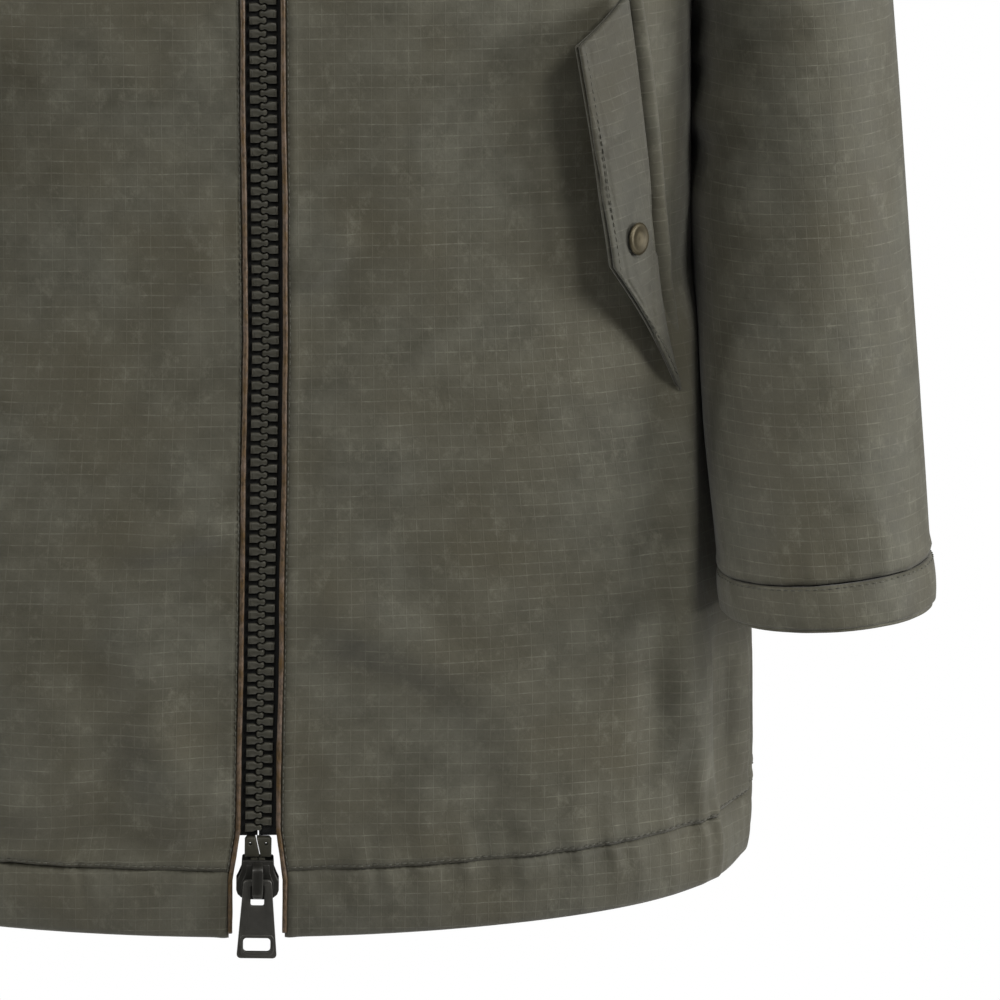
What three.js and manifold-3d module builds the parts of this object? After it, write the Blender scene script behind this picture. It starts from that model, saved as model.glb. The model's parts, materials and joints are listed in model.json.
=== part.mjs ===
// An olive ripstop work jacket with a stand collar and a two-way front zip,
// closed and hanging as if worn. Millimetres, +Z up, the front faces -Y and
// +X is the wearer's left. The origin is at the hanger loop inside the neck.
import * as THREE from "three";
import { mergeVertices } from "three/addons/utils/BufferGeometryUtils.js";
import Module from "manifold-3d";

const wasm = await Module();
wasm.setup();

// Body: the outer face of the shell fabric, before it is shifted to the origin.
const BODY_HEIGHT = 600; // hem to the chest line, where the yokes begin
const HEM_HALF_WIDTH = 243;
const WAIST_HALF_WIDTH = 212;
const CHEST_HALF_WIDTH = 224;
const BODY_HALF_DEPTH = 125;
const HEM_RISE = 22; // how much the hem lifts at the sides
const HEM_SQUARENESS = 3.3; // superellipse exponents of the cross-section
const WAIST_SQUARENESS = 3.3;
const CHEST_SQUARENESS = 3.0;
const NECK_HALF_WIDTH = 78;
const NECK_FRONT_Z = BODY_HEIGHT + 170;
const NECK_SIDE_Z = BODY_HEIGHT + 220;
const NECK_BACK_Z = BODY_HEIGHT + 212;
const NECK_BACK_Y = 78;
const NECK_SQUARENESS = 2.7;
const FRONT_LEAN = 0.2118; // how far the front leans back per mm above the chest
const SHOULDER_SQUARENESS = 3.1;
const BACK_SQUARENESS = 1.5;
const COLLAR_FRONT_Z = NECK_FRONT_Z + 88;
const COLLAR_SIDE_Z = NECK_SIDE_Z + 64;
const COLLAR_BACK_Z = NECK_BACK_Z + 80;
const COLLAR_HEIGHT = COLLAR_BACK_Z - NECK_BACK_Z;
const COLLAR_TOP_HALF_WIDTH = 74;
const COLLAR_TOP_BACK_Y = 73;

// Levels: v runs up the body in mm to the chest, then over the yoke to the neck
// ring, then up the collar, so one number places anything on the garment.
const V_CHEST = BODY_HEIGHT;
const V_NECK = V_CHEST + 200;
const V_COLLAR_TOP = V_NECK + COLLAR_HEIGHT;

const SIDE_SEAM_U = 0.25;

// Layers, as depths below the outer face.
const FABRIC = 3; // the padded outer shell
const GAP = 0.4; // clearance between layers that touch
const TAPE = 0.9;
const LINING = 1.2;
const FACING = 1.2;
const TAPE_DEPTH = FABRIC + GAP;
const FACING_DEPTH = TAPE_DEPTH + TAPE + GAP;
const FACET_ROOM = 1; // extra room over the flats of a faceted layer
const POCKET_BAG_DEPTH = FABRIC + GAP + 1.5 * FACET_ROOM;
const LINING_DEPTH = POCKET_BAG_DEPTH + LINING + GAP + 2 * FACET_ROOM; // padding lies between
const COLLAR_LINING_DEPTH = FABRIC + GAP + TAPE + GAP;

// Hem band.
const HEM_BAND = 34;
const HEM_BAND_PROUD = 1.2;

// Sleeves.
const CUFF_HALF_WIDTH = 52;
const CUFF_HALF_DEPTH = 50;
const CUFF_BAND = 29;
const CUFF_Z = BODY_HEIGHT - 440; // the sleeve hangs a fixed length from the chest line
const CUFF_X = 276;
const CUFF_Y = -103;
const CUFF_PROUD = 0.6;
const SLEEVE_SIDES = 12;
const ELBOW_STATION = 4; // where the upper and lower sleeve panels meet
const SLEEVE_BORE_SHARE = 0.72; // how far down the sleeve the armhole's bore runs
const SHOULDER_PIVOT = new THREE.Vector3(201, 0, BODY_HEIGHT + 172);

// Zip.
const TOOTH_PITCH = 6.35;
const CHAIN_WIDTH = 13;
const TOOTH_THICKNESS = 4;
const TOOTH_ROOT_WIDTH = 3.6;
const TOOTH_TIP_WIDTH = 2.2;
const TOOTH_ROOT_X = 3.2;
const TOOTH_REACH = 1.7; // how far a tooth passes the centre line
const TEETH_PER_STEP = 3;
const TAPE_OUTER_X = 19;
const ZIP_BEND_Z = 300; // below here the zip leans to the wearer's right
const ZIP_LEAN = 0.0235;
const ZIP_LOW_Z = 53; // lowest tooth
const OPENING_HALF = 10.2; // panel edge to zip centre line
const HEM_OPENING_EXTRA = 3.6; // the edges spread a little more at the hem
const PIPING_RADIUS = 1.2;
const PIPING_X = OPENING_HALF - PIPING_RADIUS - GAP;
const FACING_EDGE_X = 11.4;
const FACING_WIDTH = 46;
const FACING_FOOT = 2; // the facing stops just above the hem

// Slider and pull tab.
const SLIDER_LENGTH = 20;
const SLIDER_HALF_WIDTH = 10.5;
const SLIDER_HALF_NECK = 7.75;
const SLIDER_PROUD = 3.6;
const SLIDER_PLATE = 2;
const SLIDER_THROAT_HALF = 7.2;
const SLIDER_CLEARANCE = 0.35;
const CROWN_WIDTH = 5.5;
const CROWN_LENGTH = 19.5;
const CROWN_RISE = 5.6;
const CROWN_THICKNESS = 2;
const TAB_LENGTH = 40;
const TAB_TOP_WIDTH = 14;
const TAB_BOTTOM_WIDTH = 19.6;
const TAB_THICKNESS = 2.4;
const TAB_SLOT_WIDTH = 6.6;
const TAB_SLOT_LENGTH = 10.6;
const TAB_BAR = 2.6;
const TAB_HOLE_WIDTH = 13.4;
const TAB_HOLE_HEIGHT = 7;
const TAB_FOOT = 3.4;
const PIN_LENGTH = 10;
const PIN_WIDTH = 6;
const PIN_TAIL_WIDTH = 3.6;
const PIN_TAIL_LENGTH = 12;
const STOP_LENGTH = 6;

// Pocket flap, hinged on its rear seam.
const FLAP_BASE_LOW = { share: 0.911, z: 265 }; // share of the body's half width there
const FLAP_BASE_HIGH = { share: 0.803, z: 466 };
const FLAP_WIDTH = 33;
const FLAP_FREE_LOW_Z = 335;
const FLAP_FREE_HIGH_Z = 445;
const FLAP_STAND = 14; // how far the free edge stands off beyond the flap's lift
const FLAP_PLY = 1.5;
const FLAP_LIFT = 2.6; // space under the flap, where the snap sits
const SNAP_RADIUS = 8;
const SNAP_INNER_RADIUS = 5.6;
const SNAP_IN_FROM_EDGE = 14;
const SNAP_UP = 0.28; // share of the flap's height at which the snap sits
const SNAP_STUD_ROOM = 0.7; // the stud stops short of the closed flap
const SNAP_CAP_ROOM = 0.6; // the cap stands clear of the flap's flat facets
const SNAP_CAP_HEIGHT = 2;
const FLAP_FACING_MARGIN = 0.03; // how much smaller the facing is, as a share of the flap
const POCKET_DEPTH = 105;

// Hanger loop and label.
const LOOP_WIDTH = 60;
const LOOP_DROP = 12;
const LOOP_THICKNESS = 2.4;
const LOOP_BAND = 6;
const LOOP_STAND = 4.5; // off the curve of the collar, so its middle hangs free
const LABEL_WIDTH = 60;
const LABEL_HEIGHT = 32;
const LABEL_THICKNESS = 1;

const STEP_UP = BODY_HEIGHT / 60; // the body's flare is laid out in sixtieths of its height
const FLARE_FOOT = 11 * STEP_UP;
const FLARE_TOP = 33 * STEP_UP;
const CHEST_FOOT = 45 * STEP_UP;
const FLARE_LEVELS = [12, 19, 26, 33, 43].map((n) => n * STEP_UP);
const SHOULDER_LEVELS = [-80, 0, 60, 105, 145, 178].map((up) => V_CHEST + up);
const BODY_LEVELS = [HEM_BAND + GAP, ...FLARE_LEVELS, ...SHOULDER_LEVELS, V_NECK];
const FRONT_FACETS = 10;
const BACK_FACETS = 14;
const PANEL_EASE = 1; // left free where a panel meets the collar or a facing
const SLEEVE_LINING_END = 0.995;
const LINING_LEVELS = [6, ...FLARE_LEVELS, ...SHOULDER_LEVELS, V_NECK - 6];

const OLIVE = fabric(0x56554a);
const OLIVE_BAND = fabric(0x504d43);
const OLIVE_SLEEVE = fabric(0x545248);
const LINING_CLOTH = fabric(0x26261f);
const TAPE_CLOTH = fabric(0x0f0f0d);
const PIPING_LEATHER = new THREE.MeshStandardMaterial({
  color: 0x534631,
  roughness: 0.45,
  metalness: 0,
});
const TOOTH_RESIN = new THREE.MeshStandardMaterial({
  color: 0x333127,
  roughness: 0.4,
  metalness: 0,
});
const GUNMETAL = new THREE.MeshStandardMaterial({
  color: 0x26251f,
  roughness: 0.4,
  metalness: 0.6,
});
const TAB_METAL = new THREE.MeshStandardMaterial({
  color: 0x413f3a,
  roughness: 0.42,
  metalness: 0.5,
});
const SNAP_METAL = new THREE.MeshStandardMaterial({
  color: 0x393324,
  roughness: 0.45,
  metalness: 0.5,
});

function fabric(color) {
  return new THREE.MeshStandardMaterial({ color, roughness: 0.9, metalness: 0 });
}

// ---------------------------------------------------------------- body form

function mix(a, b, t) {
  return a + (b - a) * t;
}

function smooth(t) {
  const c = Math.min(1, Math.max(0, t));
  return c * c * (3 - 2 * c);
}

// A value that eases from hem to waist to chest.
function upBody(v, hem, waist, chest) {
  if (v < FLARE_TOP) return mix(hem, waist, smooth((v - FLARE_FOOT) / (FLARE_TOP - FLARE_FOOT)));
  return mix(waist, chest, smooth((v - CHEST_FOOT) / (V_CHEST - CHEST_FOOT)));
}

// A point of a unit superellipse with exponent n: u is 0 at the front centre,
// 0.25 at the wearer's left side and 0.5 at the back.
function rounded(u, n) {
  const side = Math.sin(u * 2 * Math.PI);
  const front = Math.cos(u * 2 * Math.PI);
  const scale = (Math.abs(side) ** n + Math.abs(front) ** n) ** (-1 / n);
  return { side: side * scale, front: front * scale };
}

// A point of the cross-section at level v <= V_CHEST.
function crossSection(u, v) {
  const halfWidth = upBody(v, HEM_HALF_WIDTH, WAIST_HALF_WIDTH, CHEST_HALF_WIDTH);
  const n = upBody(v, HEM_SQUARENESS, WAIST_SQUARENESS, CHEST_SQUARENESS);
  const p = rounded(u, n);
  return { x: halfWidth * p.side, y: -BODY_HALF_DEPTH * p.front };
}

function ringPoint(u, halfWidth, frontY, backY) {
  const middle = (frontY + backY) / 2;
  const halfDepth = (backY - frontY) / 2;
  const p = rounded(u, NECK_SQUARENESS);
  return { x: halfWidth * p.side, y: middle - halfDepth * p.front };
}

// A height that eases from the front round the side to the back.
function roundNeck(u, front, side, back) {
  const angle = u * 2 * Math.PI;
  return mix(Math.cos(angle) > 0 ? front : back, side, Math.sin(angle) ** 2);
}

function frontY(z) {
  return -BODY_HALF_DEPTH + FRONT_LEAN * (z - V_CHEST);
}

// The outer face of the shell at u round the body and level v.
function surface(u, v) {
  const angle = u * 2 * Math.PI;
  if (v <= V_CHEST) {
    const p = crossSection(u, v);
    const rise = HEM_RISE * Math.sin(angle) ** 2 * (1 - smooth(v / (V_CHEST / 2)));
    return new THREE.Vector3(p.x, p.y, v + rise);
  }
  const neck = ringPoint(u, NECK_HALF_WIDTH, frontY(NECK_FRONT_Z), NECK_BACK_Y);
  const topZ = roundNeck(u, NECK_FRONT_Z, NECK_SIDE_Z, NECK_BACK_Z);
  if (v <= V_NECK) {
    const chest = crossSection(u, V_CHEST);
    const side = Math.sin(angle) ** 2;
    const end = mix(1, BACK_SQUARENESS, smooth(0.5 - Math.cos(angle)));
    const m = mix(end, SHOULDER_SQUARENESS, side);
    const quarter = (((v - V_CHEST) / (V_NECK - V_CHEST)) * Math.PI) / 2;
    const out = Math.cos(quarter) ** (2 / m);
    const up = Math.sin(quarter) ** (2 / m);
    return new THREE.Vector3(
      mix(neck.x, chest.x, out),
      mix(neck.y, chest.y, out),
      mix(V_CHEST, topZ, up),
    );
  }
  const t = (v - V_NECK) / COLLAR_HEIGHT;
  const top = ringPoint(u, COLLAR_TOP_HALF_WIDTH, frontY(COLLAR_FRONT_Z), COLLAR_TOP_BACK_Y);
  const rim = roundNeck(u, COLLAR_FRONT_Z, COLLAR_SIDE_Z, COLLAR_BACK_Z);
  return new THREE.Vector3(mix(neck.x, top.x, t), mix(neck.y, top.y, t), mix(topZ, rim, t));
}

// Outward normal of the surface, from its neighbours inside the same zone.
function normal(u, v, low, high) {
  const du = 0.002;
  const dv = 2;
  const below = Math.max(v - dv, low);
  const above = Math.min(v + dv, high);
  const across = surface(u + du, v).sub(surface(u - du, v));
  const along = surface(u, above).sub(surface(u, below));
  const n = across.cross(along);
  return n.lengthSq() > 0 ? n.normalize() : new THREE.Vector3(0, -1, 0);
}

// A point at a depth below the outer face.
function inset(u, v, depth, low = 0, high = V_COLLAR_TOP) {
  return surface(u, v).addScaledVector(normal(u, v, low, high), -depth);
}

// The u of the front point at level v that lies at X, by halving.
function uAtX(x, v) {
  let low = 0;
  let high = SIDE_SEAM_U;
  const target = Math.abs(x);
  for (let i = 0; i < 40; i++) {
    const middle = (low + high) / 2;
    if (surface(middle, v).x < target) low = middle;
    else high = middle;
  }
  return x < 0 ? -low : low;
}

// ------------------------------------------------------------ solid helpers

function closedGeometry(points, faces) {
  const geometry = new THREE.BufferGeometry();
  const flat = points.flatMap((p) => [p.x, p.y, p.z]);
  geometry.setAttribute("position", new THREE.Float32BufferAttribute(flat, 3));
  geometry.setIndex(faces.flat());
  return outward(mergeVertices(geometry, 1e-3));
}

function outward(geometry) {
  const solid = toManifold(geometry);
  if (solid.volume() >= 0) return geometry;
  const index = geometry.index.array;
  for (let i = 0; i < index.length; i += 3) {
    [index[i + 1], index[i + 2]] = [index[i + 2], index[i + 1]];
  }
  return geometry;
}

function toManifold(geometry) {
  const bare = geometry.clone();
  bare.deleteAttribute("normal");
  bare.deleteAttribute("uv");
  const merged = mergeVertices(bare, 1e-3);
  const mesh = new wasm.Mesh({
    numProp: 3,
    vertProperties: new Float32Array(merged.attributes.position.array),
    triVerts: new Uint32Array(merged.index.array),
  });
  return new wasm.Manifold(mesh);
}

function fromManifold(solid) {
  const mesh = solid.getMesh();
  const geometry = new THREE.BufferGeometry();
  geometry.setAttribute("position", new THREE.BufferAttribute(mesh.vertProperties, 3));
  geometry.setIndex(new THREE.BufferAttribute(mesh.triVerts, 1));
  return geometry;
}

// The largest of a solid's separate bodies, for cuts that leave crumbs.
function largest(solid) {
  const bodies = solid.decompose();
  return bodies.reduce((a, b) => (b.volume() > a.volume() ? b : a));
}

// A solid through a ring of sections, each a closed loop of points, with both
// ends capped. Every section has the same number of points.
function loft(sections) {
  const n = sections[0].length;
  const points = sections.flat();
  const faces = [];
  for (let s = 0; s + 1 < sections.length; s++) {
    for (let i = 0; i < n; i++) {
      const a = s * n + i;
      const b = s * n + ((i + 1) % n);
      faces.push([a, b, b + n], [a, b + n, a + n]);
    }
  }
  const last = (sections.length - 1) * n;
  for (let i = 1; i + 1 < n; i++) {
    faces.push([0, i + 1, i], [last, last + i, last + i + 1]);
  }
  return closedGeometry(points, faces);
}

// A curved panel between two depths. edges(v) gives its first and last u.
function panel({ edges, v0, v1, nu, nv, outer, inner, levels }) {
  const rows = levels ?? spaced(v0, v1, nv);
  const low = rows[0] >= V_NECK ? V_NECK : 0;
  const high = rows[rows.length - 1] <= V_CHEST ? V_CHEST : V_COLLAR_TOP;
  const points = [];
  for (const depth of [outer, inner]) {
    for (const v of rows) {
      const [first, last] = edges(v);
      for (const u of spaced(first, last, nu)) points.push(inset(u, v, depth, low, high));
    }
  }
  const across = nu + 1;
  const count = rows.length * across;
  const at = (side, row, column) => side * count + row * across + column;
  const faces = [];
  const quad = (a, b, c, d) => faces.push([a, b, c], [a, c, d]);
  for (let r = 0; r + 1 < rows.length; r++) {
    for (let c = 0; c < nu; c++) {
      quad(at(0, r, c), at(0, r, c + 1), at(0, r + 1, c + 1), at(0, r + 1, c));
      quad(at(1, r, c), at(1, r + 1, c), at(1, r + 1, c + 1), at(1, r, c + 1));
    }
    quad(at(0, r, 0), at(0, r + 1, 0), at(1, r + 1, 0), at(1, r, 0));
    quad(at(0, r, nu), at(1, r, nu), at(1, r + 1, nu), at(0, r + 1, nu));
  }
  const top = rows.length - 1;
  for (let c = 0; c < nu; c++) {
    quad(at(0, 0, c), at(1, 0, c), at(1, 0, c + 1), at(0, 0, c + 1));
    quad(at(0, top, c), at(0, top, c + 1), at(1, top, c + 1), at(1, top, c));
  }
  return closedGeometry(points, faces);
}

function spaced(first, last, steps) {
  return Array.from({ length: steps + 1 }, (_, i) => mix(first, last, i / steps));
}

function boxGeometry(x0, x1, y0, y1, z0, z1) {
  const geometry = new THREE.BoxGeometry(x1 - x0, y1 - y0, z1 - z0);
  geometry.translate((x0 + x1) / 2, (y0 + y1) / 2, (z0 + z1) / 2);
  return geometry;
}

// A flat plate: an outline in (x, z) carried from y0 to y1, with holes.
function plate(outline, y0, y1, holes = []) {
  const corners = outline.map(([x, z]) => new THREE.Vector2(x, z));
  if (THREE.ShapeUtils.isClockWise(corners)) corners.reverse();
  const shape = new THREE.Shape(corners);
  for (const hole of holes) {
    shape.holes.push(new THREE.Path(hole.map(([x, z]) => new THREE.Vector2(x, z))));
  }
  const geometry = new THREE.ExtrudeGeometry(shape, { depth: y1 - y0, bevelEnabled: false });
  geometry.rotateX(Math.PI / 2);
  geometry.translate(0, y1, 0);
  return geometry;
}

function mesh(name, geometry, material) {
  const made = new THREE.Mesh(geometry, material);
  made.name = name;
  return made;
}

// ----------------------------------------------------------------- sleeves

// Stations of the wearer's left sleeve: its outer and inner side lines in X-Z,
// the depth of its centre and its half depth.
function sleeveStations() {
  return [
    { out: [140, V_CHEST + 200], in: [120, V_CHEST], y: 3, depth: 88 },
    { out: [213, V_CHEST + 168], in: [172, V_CHEST - 88], y: 3, depth: 104 },
    { out: [262, V_CHEST + 112], in: [196, V_CHEST - 122], y: 0, depth: 98 },
    { out: [296, V_CHEST], in: [212, V_CHEST - 154], y: -8, depth: 84 },
    { out: [308, V_CHEST - 110], in: [213, V_CHEST - 190], y: -18, depth: 70 },
    { out: [315, V_CHEST - 210], in: [213, V_CHEST - 250], y: -38, depth: 62 },
    { out: [322, V_CHEST - 330], in: [215, V_CHEST - 350], y: -70, depth: 56 },
    {
      out: [CUFF_X + CUFF_HALF_WIDTH, CUFF_Z + 3],
      in: [CUFF_X - CUFF_HALF_WIDTH, CUFF_Z - 3],
      y: CUFF_Y,
      depth: CUFF_HALF_DEPTH,
    },
  ];
}

// One section of the sleeve, shrunk by a depth.
function sleeveRing(station, depth) {
  const outer = new THREE.Vector3(station.out[0], station.y, station.out[1]);
  const inner = new THREE.Vector3(station.in[0], station.y, station.in[1]);
  const centre = outer.clone().add(inner).multiplyScalar(0.5);
  const arm = outer.clone().sub(inner).multiplyScalar(0.5);
  const reach = arm.length();
  arm.multiplyScalar((reach - depth) / reach);
  const ring = [];
  for (let i = 0; i < SLEEVE_SIDES; i++) {
    const angle = (i / SLEEVE_SIDES) * 2 * Math.PI;
    const p = centre.clone().addScaledVector(arm, Math.cos(angle));
    p.y += (station.depth - depth) * Math.sin(angle);
    ring.push(p);
  }
  return ring;
}

function stationAt(t) {
  const all = sleeveStations();
  const place = t * (all.length - 1);
  const i = Math.min(all.length - 2, Math.floor(place));
  const f = place - i;
  const a = all[i];
  const b = all[i + 1];
  return {
    out: [mix(a.out[0], b.out[0], f), mix(a.out[1], b.out[1], f)],
    in: [mix(a.in[0], b.in[0], f), mix(a.in[1], b.in[1], f)],
    y: mix(a.y, b.y, f),
    depth: mix(a.depth, b.depth, f),
  };
}

function sleeveSolid(depth, from, to) {
  const all = sleeveStations();
  const inside = all
    .map((_, i) => i / (all.length - 1))
    .filter((t) => t > from + 0.01 && t < to - 0.01);
  return toManifold(loft([from, ...inside, to].map((t) => sleeveRing(stationAt(t), depth))));
}

// A hollow sleeve layer between two depths, open at both ends.
function sleeveTube(outerDepth, innerDepth, from, to) {
  const past = 0.02;
  const all = sleeveStations();
  const end = all[all.length - 1];
  const ends = to + past > 1 ? extended(end, all[all.length - 2]) : null;
  const bore = toManifold(
    loft([
      ...all
        .map((s, i) => ({ s, t: i / (all.length - 1) }))
        .filter(({ t }) => t < to + past - 0.001 || ends)
        .map(({ s }) => sleeveRing(s, innerDepth)),
      sleeveRing(ends ?? stationAt(to + past), innerDepth),
    ]),
  );
  return sleeveSolid(outerDepth, from, to).subtract(bore);
}

// Everything before or behind the seams that run down both sides of the sleeve.
function sleeveHalf(behind) {
  const beyond = 20;
  const all = sleeveStations();
  const before = extended(all[0], all[1]);
  const after = extended(all[all.length - 1], all[all.length - 2]);
  const sections = [before, ...all, after].map((station) =>
    sleeveRing(station, -beyond)
      .filter((_, i) => (behind ? i <= SLEEVE_SIDES / 2 : i === 0 || i >= SLEEVE_SIDES / 2))
      .map((p) => p.setY(p.y + ((behind ? 1 : -1) * GAP) / 2)),
  );
  return toManifold(loft(sections));
}

// The share of the sleeve's length at which the cuff begins.
function cuffStart() {
  const centre = (s) => new THREE.Vector3((s.out[0] + s.in[0]) / 2, s.y, (s.out[1] + s.in[1]) / 2);
  const [last, before] = sleeveStations().reverse();
  const span = centre(last).distanceTo(centre(before));
  return 1 - CUFF_BAND / span / (sleeveStations().length - 1);
}

// A station carried on past the last one.
function extended(last, before) {
  const on = 0.1;
  return {
    out: [mix(last.out[0], before.out[0], -on), mix(last.out[1], before.out[1], -on)],
    in: [mix(last.in[0], before.in[0], -on), mix(last.in[1], before.in[1], -on)],
    y: mix(last.y, before.y, -on),
    depth: last.depth,
  };
}

// Everything inside the body's outer face, grown or shrunk by a depth.
function torsoSolid(depth) {
  const around = 28;
  const levels = [-20, 0, ...BODY_LEVELS];
  const sections = levels.map((v) =>
    spaced(0, 1, around)
      .slice(0, around)
      .map((u) => {
        const p = inset(u, Math.max(v, 0), depth);
        p.z += Math.min(v, 0);
        return p;
      }),
  );
  return toManifold(loft(sections));
}

// --------------------------------------------------------------------- zip

// The zip's centre line: x and y at height z.
function zipX(z) {
  return z < ZIP_BEND_Z ? -ZIP_LEAN * (ZIP_BEND_Z - z) : 0;
}

function zipY(z) {
  return z < V_CHEST ? -BODY_HALF_DEPTH : frontY(z);
}

const ZIP_TOP_Z = COLLAR_FRONT_Z - 1;
const LOWER_SLIDER_Z = ZIP_LOW_Z - 22;
const UPPER_SLIDER_Z = ZIP_TOP_Z - STOP_LENGTH - SLIDER_LENGTH / 2 - 0.8;
const TEETH_TOP_Z = UPPER_SLIDER_Z + SLIDER_LENGTH * 0.1;

// A frame standing on the zip's centre line at height z: x across, y inward, z up.
function zipFrame(z) {
  const step = 1;
  const below = new THREE.Vector3(zipX(z - step), zipY(z - step), z - step);
  const above = new THREE.Vector3(zipX(z + step), zipY(z + step), z + step);
  const up = above.sub(below).normalize();
  const across = new THREE.Vector3(1, 0, 0).addScaledVector(up, -up.x).normalize();
  const inward = new THREE.Vector3().crossVectors(up, across);
  const frame = new THREE.Matrix4().makeBasis(across, inward, up);
  return frame.setPosition(zipX(z), zipY(z), z);
}

// A point beside the zip: side offset, depth and height.
function beside(x, depth, z) {
  const lean = z < V_CHEST ? 0 : FRONT_LEAN;
  const scale = 1 / Math.hypot(1, lean);
  return new THREE.Vector3(zipX(z) + x, zipY(z) + depth * scale, z - depth * lean * scale);
}

// A bar beside the zip with a rectangular section, bent with the zip.
function besideBar(x0, x1, d0, d1, heights) {
  return loft(
    heights.map((z) => [beside(x0, d0, z), beside(x1, d0, z), beside(x1, d1, z), beside(x0, d1, z)]),
  );
}

function zipHeights(low, high) {
  return [low, ...[ZIP_BEND_Z, V_CHEST].filter((z) => z > low + 1 && z < high - 1), high];
}

// One row of teeth: a spine with tapered teeth, all one moulding. The spine's
// outer line has a point for every few teeth, so it bends with the zip.
function toothRow(side) {
  const half = CHAIN_WIDTH / 2;
  const front = TAPE_DEPTH + TAPE / 2 - TOOTH_THICKNESS / 2;
  const start = ZIP_LOW_Z + (side > 0 ? TOOTH_PITCH / 2 : 0);
  const count = Math.floor((TEETH_TOP_Z - start) / TOOTH_PITCH);
  const root = TOOTH_ROOT_WIDTH / 2;
  const tip = TOOTH_TIP_WIDTH / 2;
  const points = [];
  const faces = [];
  // Each place is a front point, and the back point follows it.
  const place = (x, z) => {
    points.push(beside(side * x, front, z), beside(side * x, front + TOOTH_THICKNESS, z));
    return points.length - 2;
  };
  const face = (a, b, c) => faces.push([a, b, c], [a + 1, c + 1, b + 1]);
  const wall = (a, b) => faces.push([a, a + 1, b + 1], [a, b + 1, b]);
  let outer = -1;
  let last = -1;
  for (let i = 0; i < count; i++) {
    const z = start + (i + 0.5) * TOOTH_PITCH;
    const a = place(TOOTH_ROOT_X, z - root);
    const b = place(-TOOTH_REACH, z - tip);
    const c = place(-TOOTH_REACH, z + tip);
    const d = place(TOOTH_ROOT_X, z + root);
    if (last >= 0) {
      face(outer, last, a);
      wall(last, a);
    }
    if (i % TEETH_PER_STEP === 0) {
      const next = place(half, z - root);
      if (last >= 0) {
        face(outer, a, next);
        wall(next, outer);
      } else {
        wall(next, a);
      }
      outer = next;
    }
    face(outer, a, d);
    face(a, b, c);
    face(a, c, d);
    wall(a, b);
    wall(b, c);
    wall(c, d);
    last = d;
  }
  const end = place(half, start + (count - 0.5) * TOOTH_PITCH + root);
  face(outer, last, end);
  wall(end, outer);
  wall(last, end);
  return closedGeometry(points, faces);
}

// How far the piping and the panel edges stand from the zip at height z.
function edgeSpread(side, z) {
  const low = Math.max(0, 1 - z / 55);
  return side * HEM_OPENING_EXTRA * Math.min(1, low * 2.2);
}

function piping(side) {
  const heights = [3, 18, 32, 56, ...zipHeights(120, ZIP_TOP_Z + 4)];
  const sides = 6;
  return loft(
    heights.map((z) =>
      spaced(0, 2 * Math.PI, sides)
        .slice(0, sides)
        .map((a) => {
          const x = side * PIPING_X + edgeSpread(side, z) + PIPING_RADIUS * Math.cos(a);
          return beside(x, PIPING_RADIUS * Math.sin(a), z);
        }),
    ),
  );
}

function zipTape(side) {
  const inner = side * (CHAIN_WIDTH / 2 + 0.3);
  const bar = besideBar(
    Math.min(inner, side * TAPE_OUTER_X),
    Math.max(inner, side * TAPE_OUTER_X),
    TAPE_DEPTH,
    TAPE_DEPTH + TAPE,
    zipHeights(ZIP_LOW_Z - 1, ZIP_TOP_Z),
  );
  return bar;
}

// The space the tape lies in, with its clearance, cut from what covers it.
function tapeRoom(side) {
  const far = side * (TAPE_OUTER_X + GAP);
  return besideBar(
    Math.min(0, far),
    Math.max(0, far),
    TAPE_DEPTH - GAP,
    TAPE_DEPTH + TAPE + GAP,
    zipHeights(ZIP_LOW_Z - 2, ZIP_TOP_Z + 2),
  );
}

// A bottom pin: its head shows above the slider and its tail runs inside it.
function bottomPin(side) {
  const front = TAPE_DEPTH + TAPE / 2 - TOOTH_THICKNESS / 2;
  const back = front + TOOTH_THICKNESS;
  const top = ZIP_LOW_Z - 1.5;
  const neck = top - PIN_LENGTH;
  const inner = 0.25;
  const head = [
    [inner, neck],
    [PIN_WIDTH, neck],
    [PIN_WIDTH, top - 2],
    [PIN_WIDTH - 1.5, top],
    [inner, top],
  ];
  const tail = [
    [inner, neck - PIN_TAIL_LENGTH],
    [PIN_TAIL_WIDTH, neck - PIN_TAIL_LENGTH],
    [PIN_TAIL_WIDTH, neck],
    [inner, neck],
  ];
  const outline = [...tail.slice(0, 3), ...head.slice(1)];
  const sided = outline.map(([x, z]) => [side * x, z]);
  const geometry = outward(cleaned(plate(sided, front, back)));
  const frame = zipFrame(top - PIN_LENGTH / 2);
  const local = new THREE.Matrix4().makeTranslation(0, 0, -(top - PIN_LENGTH / 2));
  return geometry.applyMatrix4(local).applyMatrix4(frame);
}

function cleaned(geometry) {
  const bare = geometry.clone();
  bare.deleteAttribute("normal");
  bare.deleteAttribute("uv");
  return mergeVertices(bare, 1e-3);
}

function topStop(side) {
  const front = TAPE_DEPTH + TAPE / 2 - TOOTH_THICKNESS / 2;
  const near = side * 2.2;
  const far = (side * CHAIN_WIDTH) / 2;
  const z = ZIP_TOP_Z - STOP_LENGTH;
  return besideBar(
    Math.min(near, far),
    Math.max(near, far),
    front,
    front + TOOTH_THICKNESS,
    [z, z + STOP_LENGTH - 0.5],
  );
}

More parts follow.
